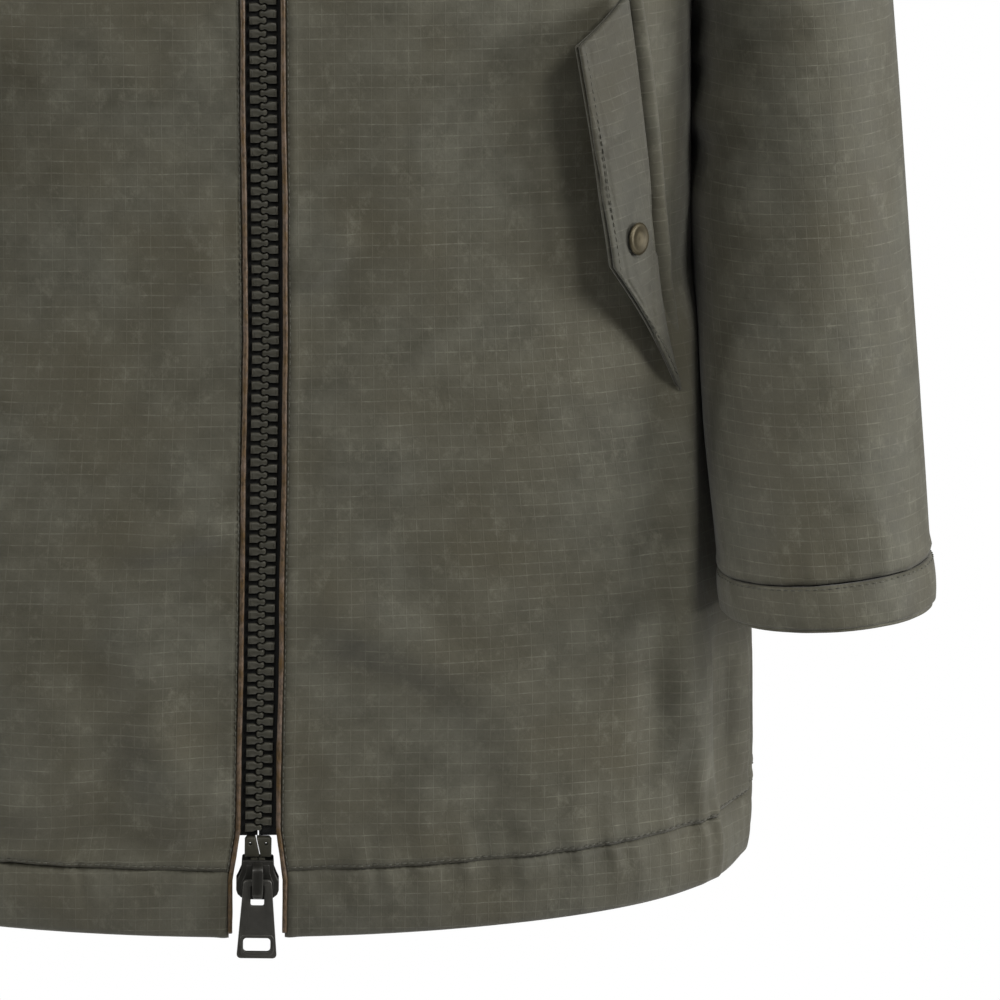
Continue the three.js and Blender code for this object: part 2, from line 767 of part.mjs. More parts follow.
// Outline of the slider's plate about its middle: narrow where the chain is
// closed and rounded where the rows part. z grows toward the closed end.
function sliderOutline() {
  const half = SLIDER_LENGTH / 2;
  const right = [
    [SLIDER_HALF_NECK, half],
    [SLIDER_HALF_NECK + 0.4, half * 0.45],
    [SLIDER_HALF_WIDTH, -half * 0.1],
    [SLIDER_HALF_WIDTH, -half * 0.55],
    [SLIDER_HALF_WIDTH * 0.78, -half * 0.9],
    [SLIDER_HALF_WIDTH * 0.4, -half],
  ];
  return [...right, ...right.map(([x, z]) => [-x, z]).reverse()];
}

// The slider: two plates joined by a wedge at the end where the rows part.
function sliderBody() {
  const teethFront = TAPE_DEPTH + TAPE / 2 - TOOTH_THICKNESS / 2;
  const teethBack = teethFront + TOOTH_THICKNESS;
  const half = SLIDER_LENGTH / 2;
  const cover = plate(sliderOutline(), -SLIDER_PROUD, -SLIDER_PROUD + SLIDER_PLATE);
  const throat = boxGeometry(
    -SLIDER_THROAT_HALF,
    SLIDER_THROAT_HALF,
    -SLIDER_PROUD + SLIDER_PLATE / 2,
    teethFront - SLIDER_CLEARANCE,
    -half * 0.8,
    half,
  );
  const wedge = plate(
    [
      [-2.4, -half * 0.8],
      [2.4, -half * 0.8],
      [0.9, -half * 0.28],
      [-0.9, -half * 0.28],
    ],
    teethFront - 1,
    teethBack + 1,
  );
  const rear = teethBack + SLIDER_CLEARANCE;
  const back = plate(sliderOutline(), rear, rear + SLIDER_PLATE);
  return [cover, throat, wedge, back].map(toManifold).reduce((a, b) => a.add(b));
}

// The crown: an arch over the front plate that holds the pull tab's bar.
function sliderCrown() {
  const half = CROWN_LENGTH / 2;
  const foot = -SLIDER_PROUD - GAP;
  const top = foot - CROWN_RISE;
  const arch = [
    [foot, -half],
    [top + 1.2, -half],
    [top, -half + 1.6],
    [top, half - 1.6],
    [top + 1.2, half],
    [foot, half],
    [foot, half - CROWN_THICKNESS],
    [top + CROWN_THICKNESS, half - CROWN_THICKNESS],
    [top + CROWN_THICKNESS, -half + CROWN_THICKNESS],
    [foot, -half + CROWN_THICKNESS],
  ];
  const wide = CROWN_WIDTH / 2;
  const shape = new THREE.Shape(arch.map(([y, z]) => new THREE.Vector2(y, z)));
  const geometry = new THREE.ExtrudeGeometry(shape, { depth: CROWN_WIDTH, bevelEnabled: false });
  // Shape x is depth and shape y is height; the extrusion runs across.
  geometry.applyMatrix4(
    new THREE.Matrix4().makeBasis(
      new THREE.Vector3(0, 1, 0),
      new THREE.Vector3(0, 0, 1),
      new THREE.Vector3(1, 0, 0),
    ),
  );
  geometry.translate(-wide, 0, 0);
  return outward(cleaned(geometry));
}

// Depth and height of the pull tab's bar, from the slider's middle.
const TAB_PIVOT_DEPTH = -SLIDER_PROUD - GAP - (CROWN_RISE - CROWN_THICKNESS) / 2;
const TAB_PIVOT_Z = -0.5;

// The pull tab, hanging from its bar: slot at the top, finger hole at the foot.
function pullTab() {
  const top = TAB_BAR / 2;
  const foot = top - TAB_LENGTH;
  const bevel = 1.6;
  const outline = [
    [TAB_TOP_WIDTH / 2 - bevel, top],
    [TAB_TOP_WIDTH / 2, top - bevel],
    [TAB_BOTTOM_WIDTH / 2, foot + bevel],
    [TAB_BOTTOM_WIDTH / 2 - bevel, foot],
  ];
  const full = [...outline, ...outline.map(([x, z]) => [-x, z]).reverse()];
  const rectangle = (half, low, high) => [
    [-half, low],
    [half, low],
    [half, high],
    [-half, high],
  ];
  const slot = rectangle(TAB_SLOT_WIDTH / 2, top - TAB_BAR - TAB_SLOT_LENGTH, top - TAB_BAR);
  const hole = rectangle(TAB_HOLE_WIDTH / 2, foot + TAB_FOOT, foot + TAB_FOOT + TAB_HOLE_HEIGHT);
  const geometry = plate(full, -TAB_THICKNESS / 2, TAB_THICKNESS / 2, [slot, hole]);
  return outward(cleaned(geometry));
}

// A slider with its crown and tab, standing on the zip at height z. The upper
// slider's plates are turned over so that its wedge is at the top.
function sliderGroup(prefix, z, turned) {
  const group = new THREE.Group();
  group.name = prefix;
  const body = fromManifold(sliderBody());
  if (turned) body.applyMatrix4(new THREE.Matrix4().makeRotationY(Math.PI));
  group.add(mesh(prefix + "_slider_body", body, GUNMETAL));
  group.add(mesh(prefix + "_slider_crown", sliderCrown(), GUNMETAL));
  const tab = mesh(prefix + "_pull_tab", pullTab(), TAB_METAL);
  tab.position.set(0, TAB_PIVOT_DEPTH, TAB_PIVOT_Z);
  group.add(tab);
  group.applyMatrix4(zipFrame(z));
  return group;
}

// ------------------------------------------------------------------ pockets

// How far from the middle plane the flap's seam stands at one of its ends.
function flapBaseX(corner) {
  return corner.share * upBody(corner.z, HEM_HALF_WIDTH, WAIST_HALF_WIDTH, CHEST_HALF_WIDTH);
}

// The flap's four corners as places on the surface, from base to free edge.
function flapCorners() {
  const baseU = (corner) => uAtX(flapBaseX(corner), corner.z);
  const free = (z) => {
    const t = (z - FLAP_BASE_LOW.z) / (FLAP_BASE_HIGH.z - FLAP_BASE_LOW.z);
    const from = mix(baseU(FLAP_BASE_LOW), baseU(FLAP_BASE_HIGH), t);
    return alongSurface(from, z, FLAP_WIDTH);
  };
  return {
    baseLow: [baseU(FLAP_BASE_LOW), FLAP_BASE_LOW.z],
    baseHigh: [baseU(FLAP_BASE_HIGH), FLAP_BASE_HIGH.z],
    freeLow: [free(FLAP_FREE_LOW_Z), FLAP_FREE_LOW_Z],
    freeHigh: [free(FLAP_FREE_HIGH_Z), FLAP_FREE_HIGH_Z],
  };
}

// Walks from u toward the front centre by a length along the surface.
function alongSurface(u, v, length) {
  const step = 0.0005;
  let walked = 0;
  let here = u;
  while (walked < length) {
    walked += surface(here, v).distanceTo(surface(here - step, v));
    here -= step;
  }
  return here;
}

// A layer of the flap between two heights above the shell, inside a margin.
function flapLayer(side, low, high, margin) {
  const c = flapCorners();
  const cells = 4;
  const rows = 6;
  const points = [];
  for (const height of [high, low]) {
    for (let r = 0; r <= rows; r++) {
      const t = mix(margin, 1 - margin, r / rows);
      const base = [mix(c.baseLow[0], c.baseHigh[0], t), mix(c.baseLow[1], c.baseHigh[1], t)];
      const free = [mix(c.freeLow[0], c.freeHigh[0], t), mix(c.freeLow[1], c.freeHigh[1], t)];
      for (let k = 0; k <= cells; k++) {
        const s = mix(margin, 1 - margin, k / cells);
        const off = height + FLAP_STAND * s;
        const p = inset(mix(base[0], free[0], s), mix(base[1], free[1], s), -off);
        p.x *= side;
        points.push(p);
      }
    }
  }
  const across = cells + 1;
  const count = (rows + 1) * across;
  const at = (layer, r, k) => layer * count + r * across + k;
  const faces = [];
  const quad = (a, b, e, d) => faces.push([a, b, e], [a, e, d]);
  for (let r = 0; r < rows; r++) {
    for (let k = 0; k < cells; k++) {
      quad(at(0, r, k), at(0, r, k + 1), at(0, r + 1, k + 1), at(0, r + 1, k));
      quad(at(1, r, k), at(1, r + 1, k), at(1, r + 1, k + 1), at(1, r, k + 1));
    }
    quad(at(0, r, 0), at(0, r + 1, 0), at(1, r + 1, 0), at(1, r, 0));
    quad(at(0, r, cells), at(1, r, cells), at(1, r + 1, cells), at(0, r + 1, cells));
  }
  for (let k = 0; k < cells; k++) {
    quad(at(0, 0, k), at(1, 0, k), at(1, 0, k + 1), at(0, 0, k + 1));
    quad(at(0, rows, k), at(0, rows, k + 1), at(1, rows, k + 1), at(1, rows, k));
  }
  return closedGeometry(points, faces);
}

// Where the snap sits: the share from the seam toward the flap's free edge.
const SNAP_ALONG = 1 - SNAP_IN_FROM_EDGE / FLAP_WIDTH;

// A point of the flap's face at shares along and up it, at a height.
function flapPoint(along, up, height) {
  const c = flapCorners();
  const between = (k) =>
    mix(mix(c.baseLow[k], c.baseHigh[k], up), mix(c.freeLow[k], c.freeHigh[k], up), along);
  return inset(between(0), between(1), -(height + FLAP_STAND * along));
}

// The snap's foot on the shell, or on the tilted flap, and its direction.
function snapPlace(onFlap) {
  const step = 0.05;
  const at = (along, up) => flapPoint(along, up, onFlap ? 0 : -FLAP_STAND * along);
  const across = at(SNAP_ALONG - step, SNAP_UP).sub(at(SNAP_ALONG + step, SNAP_UP));
  const upward = at(SNAP_ALONG, SNAP_UP + step).sub(at(SNAP_ALONG, SNAP_UP - step));
  return { foot: at(SNAP_ALONG, SNAP_UP), out: across.cross(upward).normalize() };
}

// A disc on the flap or the shell at the snap, between two heights.
function snapDisc(side, radius, low, high, onFlap) {
  const { foot, out } = snapPlace(onFlap);
  const disc = new THREE.LatheGeometry(
    [
      new THREE.Vector2(0, low),
      new THREE.Vector2(radius, low),
      new THREE.Vector2(radius * 0.96, high),
      new THREE.Vector2(0, high),
    ],
    14,
  );
  const turn = new THREE.Quaternion().setFromUnitVectors(new THREE.Vector3(0, 1, 0), out);
  disc.applyQuaternion(turn);
  disc.translate(foot.x, foot.y, foot.z);
  if (side < 0) disc.scale(-1, 1, 1);
  return outward(cleaned(disc));
}

// The pocket's welt: a strip on the shell just behind the flap's seam.
function welt(side) {
  const c = flapCorners();
  const wide = 0.009;
  return sidePanel(side, {
    edges: (v) => {
      const t = (v - FLAP_BASE_LOW.z) / (FLAP_BASE_HIGH.z - FLAP_BASE_LOW.z);
      const u = mix(c.baseLow[0], c.baseHigh[0], t) + 0.003;
      return [u, u + wide];
    },
    v0: FLAP_BASE_LOW.z,
    v1: FLAP_BASE_HIGH.z,
    nu: 1,
    nv: 5,
    outer: -2 * FACET_ROOM - 1.2,
    inner: -2 * FACET_ROOM,
  });
}

function pocketBag(side) {
  const c = flapCorners();
  return sidePanel(side, {
    edges: (v) => {
      const t = (v - FLAP_BASE_LOW.z) / (FLAP_BASE_HIGH.z - FLAP_BASE_LOW.z);
      const u = mix(c.baseLow[0], c.baseHigh[0], t) - 0.004;
      return [alongSurface(u, v, POCKET_DEPTH), u];
    },
    v0: FLAP_BASE_LOW.z - 20,
    v1: FLAP_BASE_HIGH.z - 30,
    nu: 6,
    nv: 4,
    outer: POCKET_BAG_DEPTH,
    inner: POCKET_BAG_DEPTH + LINING,
  });
}

function sidePanel(side, options) {
  const geometry = panel(options);
  if (side < 0) geometry.scale(-1, 1, 1);
  return outward(cleaned(geometry));
}

// ------------------------------------------------------------- body panels

const SEAM_GAP_U = 0.0004;
const YOKE_LEVEL = SHOULDER_LEVELS[3];

// The u at which a front piece starts beside the zip.
function frontEdge(side, v, distance) {
  const z = surface(0, v).z;
  const spread = edgeSpread(side, z);
  return uAtX(zipX(z) + side * distance + spread, v);
}

function frontPiece(side, distance, options) {
  const last = (v) => (options.until ? options.until(v) : side * (SIDE_SEAM_U - SEAM_GAP_U));
  return panel({ ...options, edges: (v) => [frontEdge(side, v, distance), last(v)] });
}

function mirrored(solid, side) {
  return side > 0 ? solid : solid.mirror([1, 0, 0]);
}

// The outer shell of one front: a panel and, above it, a yoke.
function addFrontShell(body, name, side, bore, room) {
  const below = BODY_LEVELS.filter((v) => v < YOKE_LEVEL);
  const above = SHOULDER_LEVELS.filter((v) => v > YOKE_LEVEL);
  const pieces = {
    front_panel_: [...below, YOKE_LEVEL],
    front_yoke_: [YOKE_LEVEL + GAP, ...above, V_NECK - PANEL_EASE],
  };
  for (const [prefix, levels] of Object.entries(pieces)) {
    const whole = frontPiece(side, OPENING_HALF, { levels, nu: FRONT_FACETS, outer: 0, inner: FABRIC });
    const cut = largest(toManifold(whole).subtract(bore).subtract(room));
    body.add(mesh(prefix + name, fromManifold(cut), OLIVE));
  }
  const band = frontPiece(side, OPENING_HALF, {
    v0: 0,
    v1: HEM_BAND,
    nu: FRONT_FACETS,
    nv: 1,
    outer: -HEM_BAND_PROUD,
    inner: FABRIC,
  });
  body.add(mesh("hem_band_" + name, band, OLIVE_BAND));
}

// The facing beside the zip and the lining that carries on from it.
function addFrontInside(body, name, side, bore, room) {
  const facing = frontPiece(side, FACING_EDGE_X, {
    v0: FACING_FOOT,
    v1: V_NECK - PANEL_EASE,
    nu: 2,
    nv: 9,
    outer: FACING_DEPTH,
    inner: FACING_DEPTH + FACING,
    until: (v) => frontEdge(side, v, FACING_EDGE_X + FACING_WIDTH),
  });
  const faced = largest(toManifold(facing).subtract(room));
  body.add(mesh("front_facing_" + name, fromManifold(faced), OLIVE_BAND));
  const lining = frontPiece(side, FACING_EDGE_X + FACING_WIDTH + PANEL_EASE, {
    levels: LINING_LEVELS,
    nu: 4,
    outer: LINING_DEPTH,
    inner: LINING_DEPTH + LINING,
  });
  const lined = largest(toManifold(lining).subtract(bore));
  body.add(mesh("front_lining_" + name, fromManifold(lined), LINING_CLOTH));
}

function addFront(body, name, side, sleeveBore) {
  const bore = mirrored(sleeveBore, side);
  const room = toManifold(tapeRoom(side));
  addFrontShell(body, name, side, bore, room);
  addFrontInside(body, name, side, bore, room);
  body.add(mesh("zip_tape_" + name, zipTape(side), TAPE_CLOTH));
  body.add(mesh("tooth_row_" + name, toothRow(side), TOOTH_RESIN));
  body.add(mesh("bottom_pin_" + name, bottomPin(side), TOOTH_RESIN));
  body.add(mesh("top_stop_" + name, topStop(side), TOOTH_RESIN));
  body.add(mesh("piping_" + name, piping(side), PIPING_LEATHER));
  body.add(mesh("pocket_welt_" + name, welt(side), OLIVE));
  body.add(mesh("pocket_bag_" + name, pocketBag(side), LINING_CLOTH));
  const stud = snapDisc(side, SNAP_INNER_RADIUS, GAP, FLAP_LIFT - SNAP_STUD_ROOM, false);
  body.add(mesh("snap_stud_" + name, stud, SNAP_METAL));
}

// Four shell panels meet at the elbow and along both sides of the sleeve.
function sleeveShell(name, side, torso) {
  const elbow = ELBOW_STATION / (sleeveStations().length - 1);
  const seam = 0.0006; // half the elbow seam's gap, as a share of the sleeve
  const tubes = {
    sleeve_upper_: sleeveTube(0, FABRIC, 0, elbow - seam).subtract(torso),
    sleeve_lower_: sleeveTube(0, FABRIC, elbow + seam, cuffStart() - seam),
  };
  const made = [];
  for (const [prefix, tube] of Object.entries(tubes)) {
    for (const [part, behind] of Object.entries({ front_: false, back_: true })) {
      const half = mirrored(largest(tube.intersect(sleeveHalf(behind))), side);
      made.push(mesh(prefix + part + name, fromManifold(half), OLIVE_SLEEVE));
    }
  }
  return made;
}

function sleeveGroup(name, side, torso) {
  const sleeve = new THREE.Group();
  sleeve.name = "sleeve_" + name;
  sleeve.add(...sleeveShell(name, side, torso));
  const cuff = mirrored(sleeveTube(-CUFF_PROUD, FABRIC, cuffStart(), 1), side);
  sleeve.add(mesh("cuff_band_" + name, fromManifold(cuff), OLIVE_SLEEVE));
  const layer = sleeveTube(FABRIC + GAP, FABRIC + GAP + LINING, 0, SLEEVE_LINING_END);
  const lining = mirrored(largest(layer.subtract(torso)), side);
  sleeve.add(mesh("sleeve_lining_" + name, fromManifold(lining), LINING_CLOTH));
  return sleeve;
}

function flapGroup(name, side) {
  const flap = new THREE.Group();
  flap.name = "flap_" + name;
  const middle = FLAP_LIFT + FLAP_PLY;
  const top = middle + FLAP_PLY + GAP;
  flap.add(mesh("pocket_flap_" + name, flapLayer(side, middle + GAP, top, 0), OLIVE));
  flap.add(mesh("flap_facing_" + name, flapLayer(side, FLAP_LIFT, middle, FLAP_FACING_MARGIN), OLIVE));
  const cap = snapDisc(side, SNAP_RADIUS, top + SNAP_CAP_ROOM, top + SNAP_CAP_HEIGHT, true);
  flap.add(mesh("snap_cap_" + name, cap, SNAP_METAL));
  return flap;
}

// The back shell: two halves with a centre seam, a yoke and a hem band.
function addBackShell(body, bores) {
  const below = [...BODY_LEVELS.filter((v) => v < YOKE_LEVEL), YOKE_LEVEL];
  const above = SHOULDER_LEVELS.filter((v) => v > YOKE_LEVEL);
  const side = [SIDE_SEAM_U + SEAM_GAP_U, 0.5 - SEAM_GAP_U];
  const shell = { outer: 0, inner: FABRIC };
  const pieces = {
    back_panel_left: { edges: () => side, levels: below, nu: BACK_FACETS / 2 },
    back_panel_right: { edges: () => side.map((u) => 1 - u), levels: below, nu: BACK_FACETS / 2 },
    back_yoke: {
      edges: () => backEdges(),
      levels: [YOKE_LEVEL + GAP, ...above, V_NECK - PANEL_EASE],
      nu: BACK_FACETS,
    },
  };
  for (const [name, piece] of Object.entries(pieces)) {
    const cut = largest(toManifold(panel({ ...piece, ...shell })).subtract(bores));
    body.add(mesh(name, fromManifold(cut), OLIVE));
  }
  const band = panel({
    edges: () => backEdges(),
    v0: 0,
    v1: HEM_BAND,
    nu: BACK_FACETS,
    nv: 1,
    outer: -HEM_BAND_PROUD,
    inner: FABRIC,
  });
  body.add(mesh("hem_band_back", band, OLIVE_BAND));
}

function backEdges() {
  return [SIDE_SEAM_U + SEAM_GAP_U, 1 - SIDE_SEAM_U - SEAM_GAP_U];
}

function addBack(body, sleeveBore) {
  const bores = sleeveBore.add(sleeveBore.mirror([1, 0, 0]));
  addBackShell(body, bores);
  const lining = panel({
    edges: () => backEdges(),
    levels: LINING_LEVELS,
    nu: BACK_FACETS / 2,
    outer: LINING_DEPTH,
    inner: LINING_DEPTH + LINING,
  });
  const lined = largest(toManifold(lining).subtract(bores));
  body.add(mesh("back_lining", fromManifold(lined), LINING_CLOTH));
}

function build() {
  const jacket = new THREE.Group();
  jacket.name = "jacket";
  const torso = torsoSolid(-GAP - 2 * FACET_ROOM);
  const sleeveBore = sleeveSolid(FABRIC, 0, SLEEVE_BORE_SHARE);
  const body = new THREE.Group();
  body.name = "body";
  jacket.add(body);
  for (const [name, side] of Object.entries({ left: 1, right: -1 })) {
    addFront(body, name, side, sleeveBore);
    jacket.add(sleeveGroup(name, side, torso));
    jacket.add(flapGroup(name, side));
  }
  addBack(body, sleeveBore);
  addCollar(body);
  addHanger(body);
  jacket.add(sliderGroup("lower", LOWER_SLIDER_Z, false));
  jacket.add(sliderGroup("upper", UPPER_SLIDER_Z, true));

  const loop = loopCentre();
  jacket.position.set(-loop.x, -loop.y, -loop.z);
  const root = new THREE.Group();
  root.name = "part";
  root.add(jacket);
  return root;
}

// The collar goes right round from one side of the zip to the other.
function addCollar(body) {
  const open = (distance) => (v) => {
    const u = uAtX(distance, v);
    return [u, 1 - u];
  };
  const outer = panel({
    edges: open(OPENING_HALF),
    v0: V_NECK + 1,
    v1: V_COLLAR_TOP,
    nu: 16,
    nv: 2,
    outer: 0,
    inner: FABRIC,
  });
  const rooms = [1, -1].map((side) => toManifold(tapeRoom(side)));
  const cut = largest(rooms.reduce((a, b) => a.subtract(b), toManifold(outer)));
  body.add(mesh("collar_outer", fromManifold(cut), OLIVE));
  const inner = panel({
    edges: open(FACING_EDGE_X),
    v0: V_NECK + 1,
    v1: V_COLLAR_TOP - 2,
    nu: 16,
    nv: 2,
    outer: COLLAR_LINING_DEPTH,
    inner: COLLAR_LINING_DEPTH + LINING,
  });
  body.add(mesh("collar_inner", inner, OLIVE_BAND));
}

// Top of the hanger loop's hole, on the inner collar at the back of the neck.
function loopCentre() {
  const depth = COLLAR_LINING_DEPTH + LINING + GAP + LOOP_THICKNESS / 2 + LOOP_STAND;
  return inset(0.5, V_NECK + 8, depth, V_NECK, V_COLLAR_TOP);
}

function addHanger(body) {
  const c = loopCentre();
  const half = LOOP_WIDTH / 2;
  const outer = [
    [-half, LOOP_BAND],
    [half, LOOP_BAND],
    [half, -LOOP_BAND / 4],
    [half - LOOP_BAND, -LOOP_DROP],
    [-half + LOOP_BAND, -LOOP_DROP],
    [-half, -LOOP_BAND / 4],
  ];
  const hole = [
    [-half + LOOP_BAND, 0],
    [half - LOOP_BAND, 0],
    [half - 1.6 * LOOP_BAND, -LOOP_DROP + LOOP_BAND * 0.6],
    [-half + 1.6 * LOOP_BAND, -LOOP_DROP + LOOP_BAND * 0.6],
  ];
  const geometry = plate(outer, -LOOP_THICKNESS / 2, LOOP_THICKNESS / 2, [hole]);
  geometry.translate(c.x, c.y, c.z);
  body.add(mesh("hanger_loop", outward(cleaned(geometry)), TAPE_CLOTH));
  const labelZ = c.z + LOOP_BAND + 4;
  const label = boxGeometry(
    -LABEL_WIDTH / 2,
    LABEL_WIDTH / 2,
    c.y - LABEL_THICKNESS,
    c.y,
    labelZ,
    labelZ + LABEL_HEIGHT,
  );
  body.add(mesh("neck_label", label, TAPE_CLOTH));
}

export default build();
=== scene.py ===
"""Looks for an olive ripstop work jacket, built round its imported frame.

Lengths inside the classes are millimetres in the pattern's own axes: z is
height above the hem, x runs toward the wearer's left and the front faces -y.
Place.row turns them into metres in the frame's axes.
"""

import json
import logging
import math
from dataclasses import dataclass, field
from enum import Enum
from typing import Callable, Sequence

import bmesh
import bpy
import numpy as np
from mathutils import Matrix, Vector
from mathutils.bvhtree import BVHTree

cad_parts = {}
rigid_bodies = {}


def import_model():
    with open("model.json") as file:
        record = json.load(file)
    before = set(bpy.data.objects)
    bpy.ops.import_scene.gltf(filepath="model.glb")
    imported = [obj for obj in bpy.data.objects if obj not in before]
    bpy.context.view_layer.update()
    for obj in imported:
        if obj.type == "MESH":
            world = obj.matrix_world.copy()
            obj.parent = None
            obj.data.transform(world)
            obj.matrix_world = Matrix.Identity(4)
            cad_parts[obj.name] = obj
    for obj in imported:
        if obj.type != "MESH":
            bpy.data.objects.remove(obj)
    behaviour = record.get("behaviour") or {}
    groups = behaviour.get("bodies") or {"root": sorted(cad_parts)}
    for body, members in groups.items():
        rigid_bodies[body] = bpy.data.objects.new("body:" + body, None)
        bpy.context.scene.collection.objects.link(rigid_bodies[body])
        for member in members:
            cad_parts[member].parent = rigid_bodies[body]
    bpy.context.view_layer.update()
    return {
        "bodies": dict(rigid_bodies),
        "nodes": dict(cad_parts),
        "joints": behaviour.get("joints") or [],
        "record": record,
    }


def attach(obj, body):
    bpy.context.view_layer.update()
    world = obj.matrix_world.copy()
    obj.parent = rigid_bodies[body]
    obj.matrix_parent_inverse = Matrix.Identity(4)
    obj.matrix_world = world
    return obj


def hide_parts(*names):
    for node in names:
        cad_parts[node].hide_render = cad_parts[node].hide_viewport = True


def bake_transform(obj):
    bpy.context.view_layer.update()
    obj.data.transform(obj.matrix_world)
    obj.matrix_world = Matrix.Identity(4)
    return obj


LOG = logging.getLogger("jacket")
Array = np.ndarray


class Side(Enum):
    """Which side of the wearer a piece is on, with its sign along x."""

    LEFT = 1
    RIGHT = -1

    @property
    def tag(self) -> str:
        """The word used in node names."""
        return self.name.lower()


def smooth(t: Array | float) -> Array | float:
    """Smoothstep of t, clipped to 0 and 1."""
    c = np.clip(t, 0.0, 1.0)
    return c * c * (3 - 2 * c)


def mix(a: Array | float, b: Array | float, t: Array | float) -> Array | float:
    """The value t of the way from a to b."""
    return a + (b - a) * t


# ------------------------------------------------------------------ the form


@dataclass(frozen=True)
class BodyForm:
    """The outer face of the shell, the same form that the frame is cut to."""

    hem_half_width: float = 243.0
    waist_half_width: float = 212.0
    chest_half_width: float = 224.0
    half_depth: float = 125.0
    hem_rise: float = 22.0
    squareness: tuple[float, float, float] = (3.3, 3.3, 3.0)
    chest: float = 600.0
    neck: float = 800.0
    collar_height: float = 80.0
    neck_half_width: float = 78.0
    neck_heights: tuple[float, float, float] = (770.0, 820.0, 812.0)
    neck_back_y: float = 78.0
    neck_squareness: float = 2.7
    front_lean: float = 0.2118
    shoulder_squareness: float = 3.1
    back_squareness: float = 1.5
    rim_heights: tuple[float, float, float] = (858.0, 884.0, 892.0)
    rim_half_width: float = 74.0
    rim_back_y: float = 73.0

    def up_body(self, v: Array, hem: float, waist: float, chest: float) -> Array:
        """A value that eases from hem to waist to chest at level v."""
        low = mix(hem, waist, smooth((v - 110) / 220))
        high = mix(waist, chest, smooth((v - 450) / 150))
        return np.where(v < 330, low, high)

    @staticmethod
    def rounded(u: Array, n: Array | float) -> tuple[Array, Array]:
        """A unit superellipse at u turns from the front centre.

        Args:
            u: turns, 0.25 at the wearer's left side and 0.5 at the back.
            n: the exponent.

        Returns:
            The sideways and frontward parts.
        """
        side, front = np.sin(u * 2 * np.pi), np.cos(u * 2 * np.pi)
        scale = (np.abs(side) ** n + np.abs(front) ** n) ** (-1 / n)
        return side * scale, front * scale

    def front_y(self, z: Array | float) -> Array | float:
        """Depth of the front centre line above the chest."""
        return -self.half_depth + self.front_lean * (z - self.chest)

    def ring(self, u: Array, half: float, front: float, back: float) -> tuple[Array, Array]:
        """A rounded ring between a front and a back depth."""
        side, ahead = self.rounded(u, self.neck_squareness)
        return half * side, (front + back) / 2 - (back - front) / 2 * ahead

    @staticmethod
    def round_neck(u: Array, heights: tuple[float, float, float]) -> Array:
        """A height that eases from front to side to back."""
        angle = u * 2 * np.pi
        end = np.where(np.cos(angle) > 0, heights[0], heights[2])
        return mix(end, heights[1], np.sin(angle) ** 2)

    def surface(self, u: Array, v: Array) -> Array:
        """Points of the outer face.

        Args:
            u: turns round the body.
            v: level, in mm up to the chest, then over the yoke and collar.

        Returns:
            An array of points, one for each u and v.
        """
        u, v = np.broadcast_arrays(np.asarray(u, float), np.asarray(v, float))
        angle = u * 2 * np.pi
        low = np.minimum(v, self.chest)
        n = self.up_body(low, *self.squareness)
        side, ahead = self.rounded(u, n)
        half = self.up_body(low, self.hem_half_width, self.waist_half_width, self.chest_half_width)
        x, y = half * side, -self.half_depth * ahead
        rise = self.hem_rise * np.sin(angle) ** 2 * (1 - smooth(low / (self.chest / 2)))
        z = low + rise
        front_z, back_z = self.neck_heights[0], self.neck_back_y
        nx, ny = self.ring(u, self.neck_half_width, self.front_y(front_z), back_z)
        nz = self.round_neck(u, self.neck_heights)
        end = mix(1.0, self.back_squareness, smooth(0.5 - np.cos(angle)))
        m = mix(end, self.shoulder_squareness, np.sin(angle) ** 2)
        span = self.neck - self.chest
        quarter = np.clip((v - self.chest) / span, 0, 1) * np.pi / 2
        out = np.clip(np.cos(quarter), 0, 1) ** (2 / m)
        up = np.sin(quarter) ** (2 / m)
        over = v > self.chest
        x = np.where(over, mix(nx, x, out), x)
        y = np.where(over, mix(ny, y, out), y)
        z = np.where(over, mix(self.chest, nz, up), z)
        t = np.clip((v - self.neck) / self.collar_height, 0, 1)
        rim_front = self.front_y(self.rim_heights[0])
        rx, ry = self.ring(u, self.rim_half_width, rim_front, self.rim_back_y)
        rz = self.round_neck(u, self.rim_heights)
        above = v > self.neck
        x = np.where(above, mix(nx, rx, t), x)
        y = np.where(above, mix(ny, ry, t), y)
        z = np.where(above, mix(nz, rz, t), z)
        return np.stack([x, y, z], axis=-1)

    def normal(self, u: Array, v: Array, low: float = 0.0, high: float = 880.0) -> Array:
        """Outward unit normals, from neighbours inside the same zone."""
        across = self.surface(u + 0.002, v) - self.surface(u - 0.002, v)
        above = self.surface(u, np.minimum(v + 2, high))
        along = above - self.surface(u, np.maximum(v - 2, low))
        n = np.cross(across, along)
        return n / np.maximum(np.linalg.norm(n, axis=-1, keepdims=True), 1e-9)

    def u_at_x(self, x: Array, v: Array) -> Array:
        """The u of the front point at level v that lies at x, by halving."""
        x, v = np.broadcast_arrays(np.asarray(x, float), np.asarray(v, float))
        low, high = np.zeros_like(x), np.full_like(x, 0.25)
        for _ in range(36):
            middle = (low + high) / 2
            inside = self.surface(middle, v)[..., 0] < np.abs(x)
            low, high = np.where(inside, middle, low), np.where(inside, high, middle)
        return np.sign(x) * low


FORM = BodyForm()


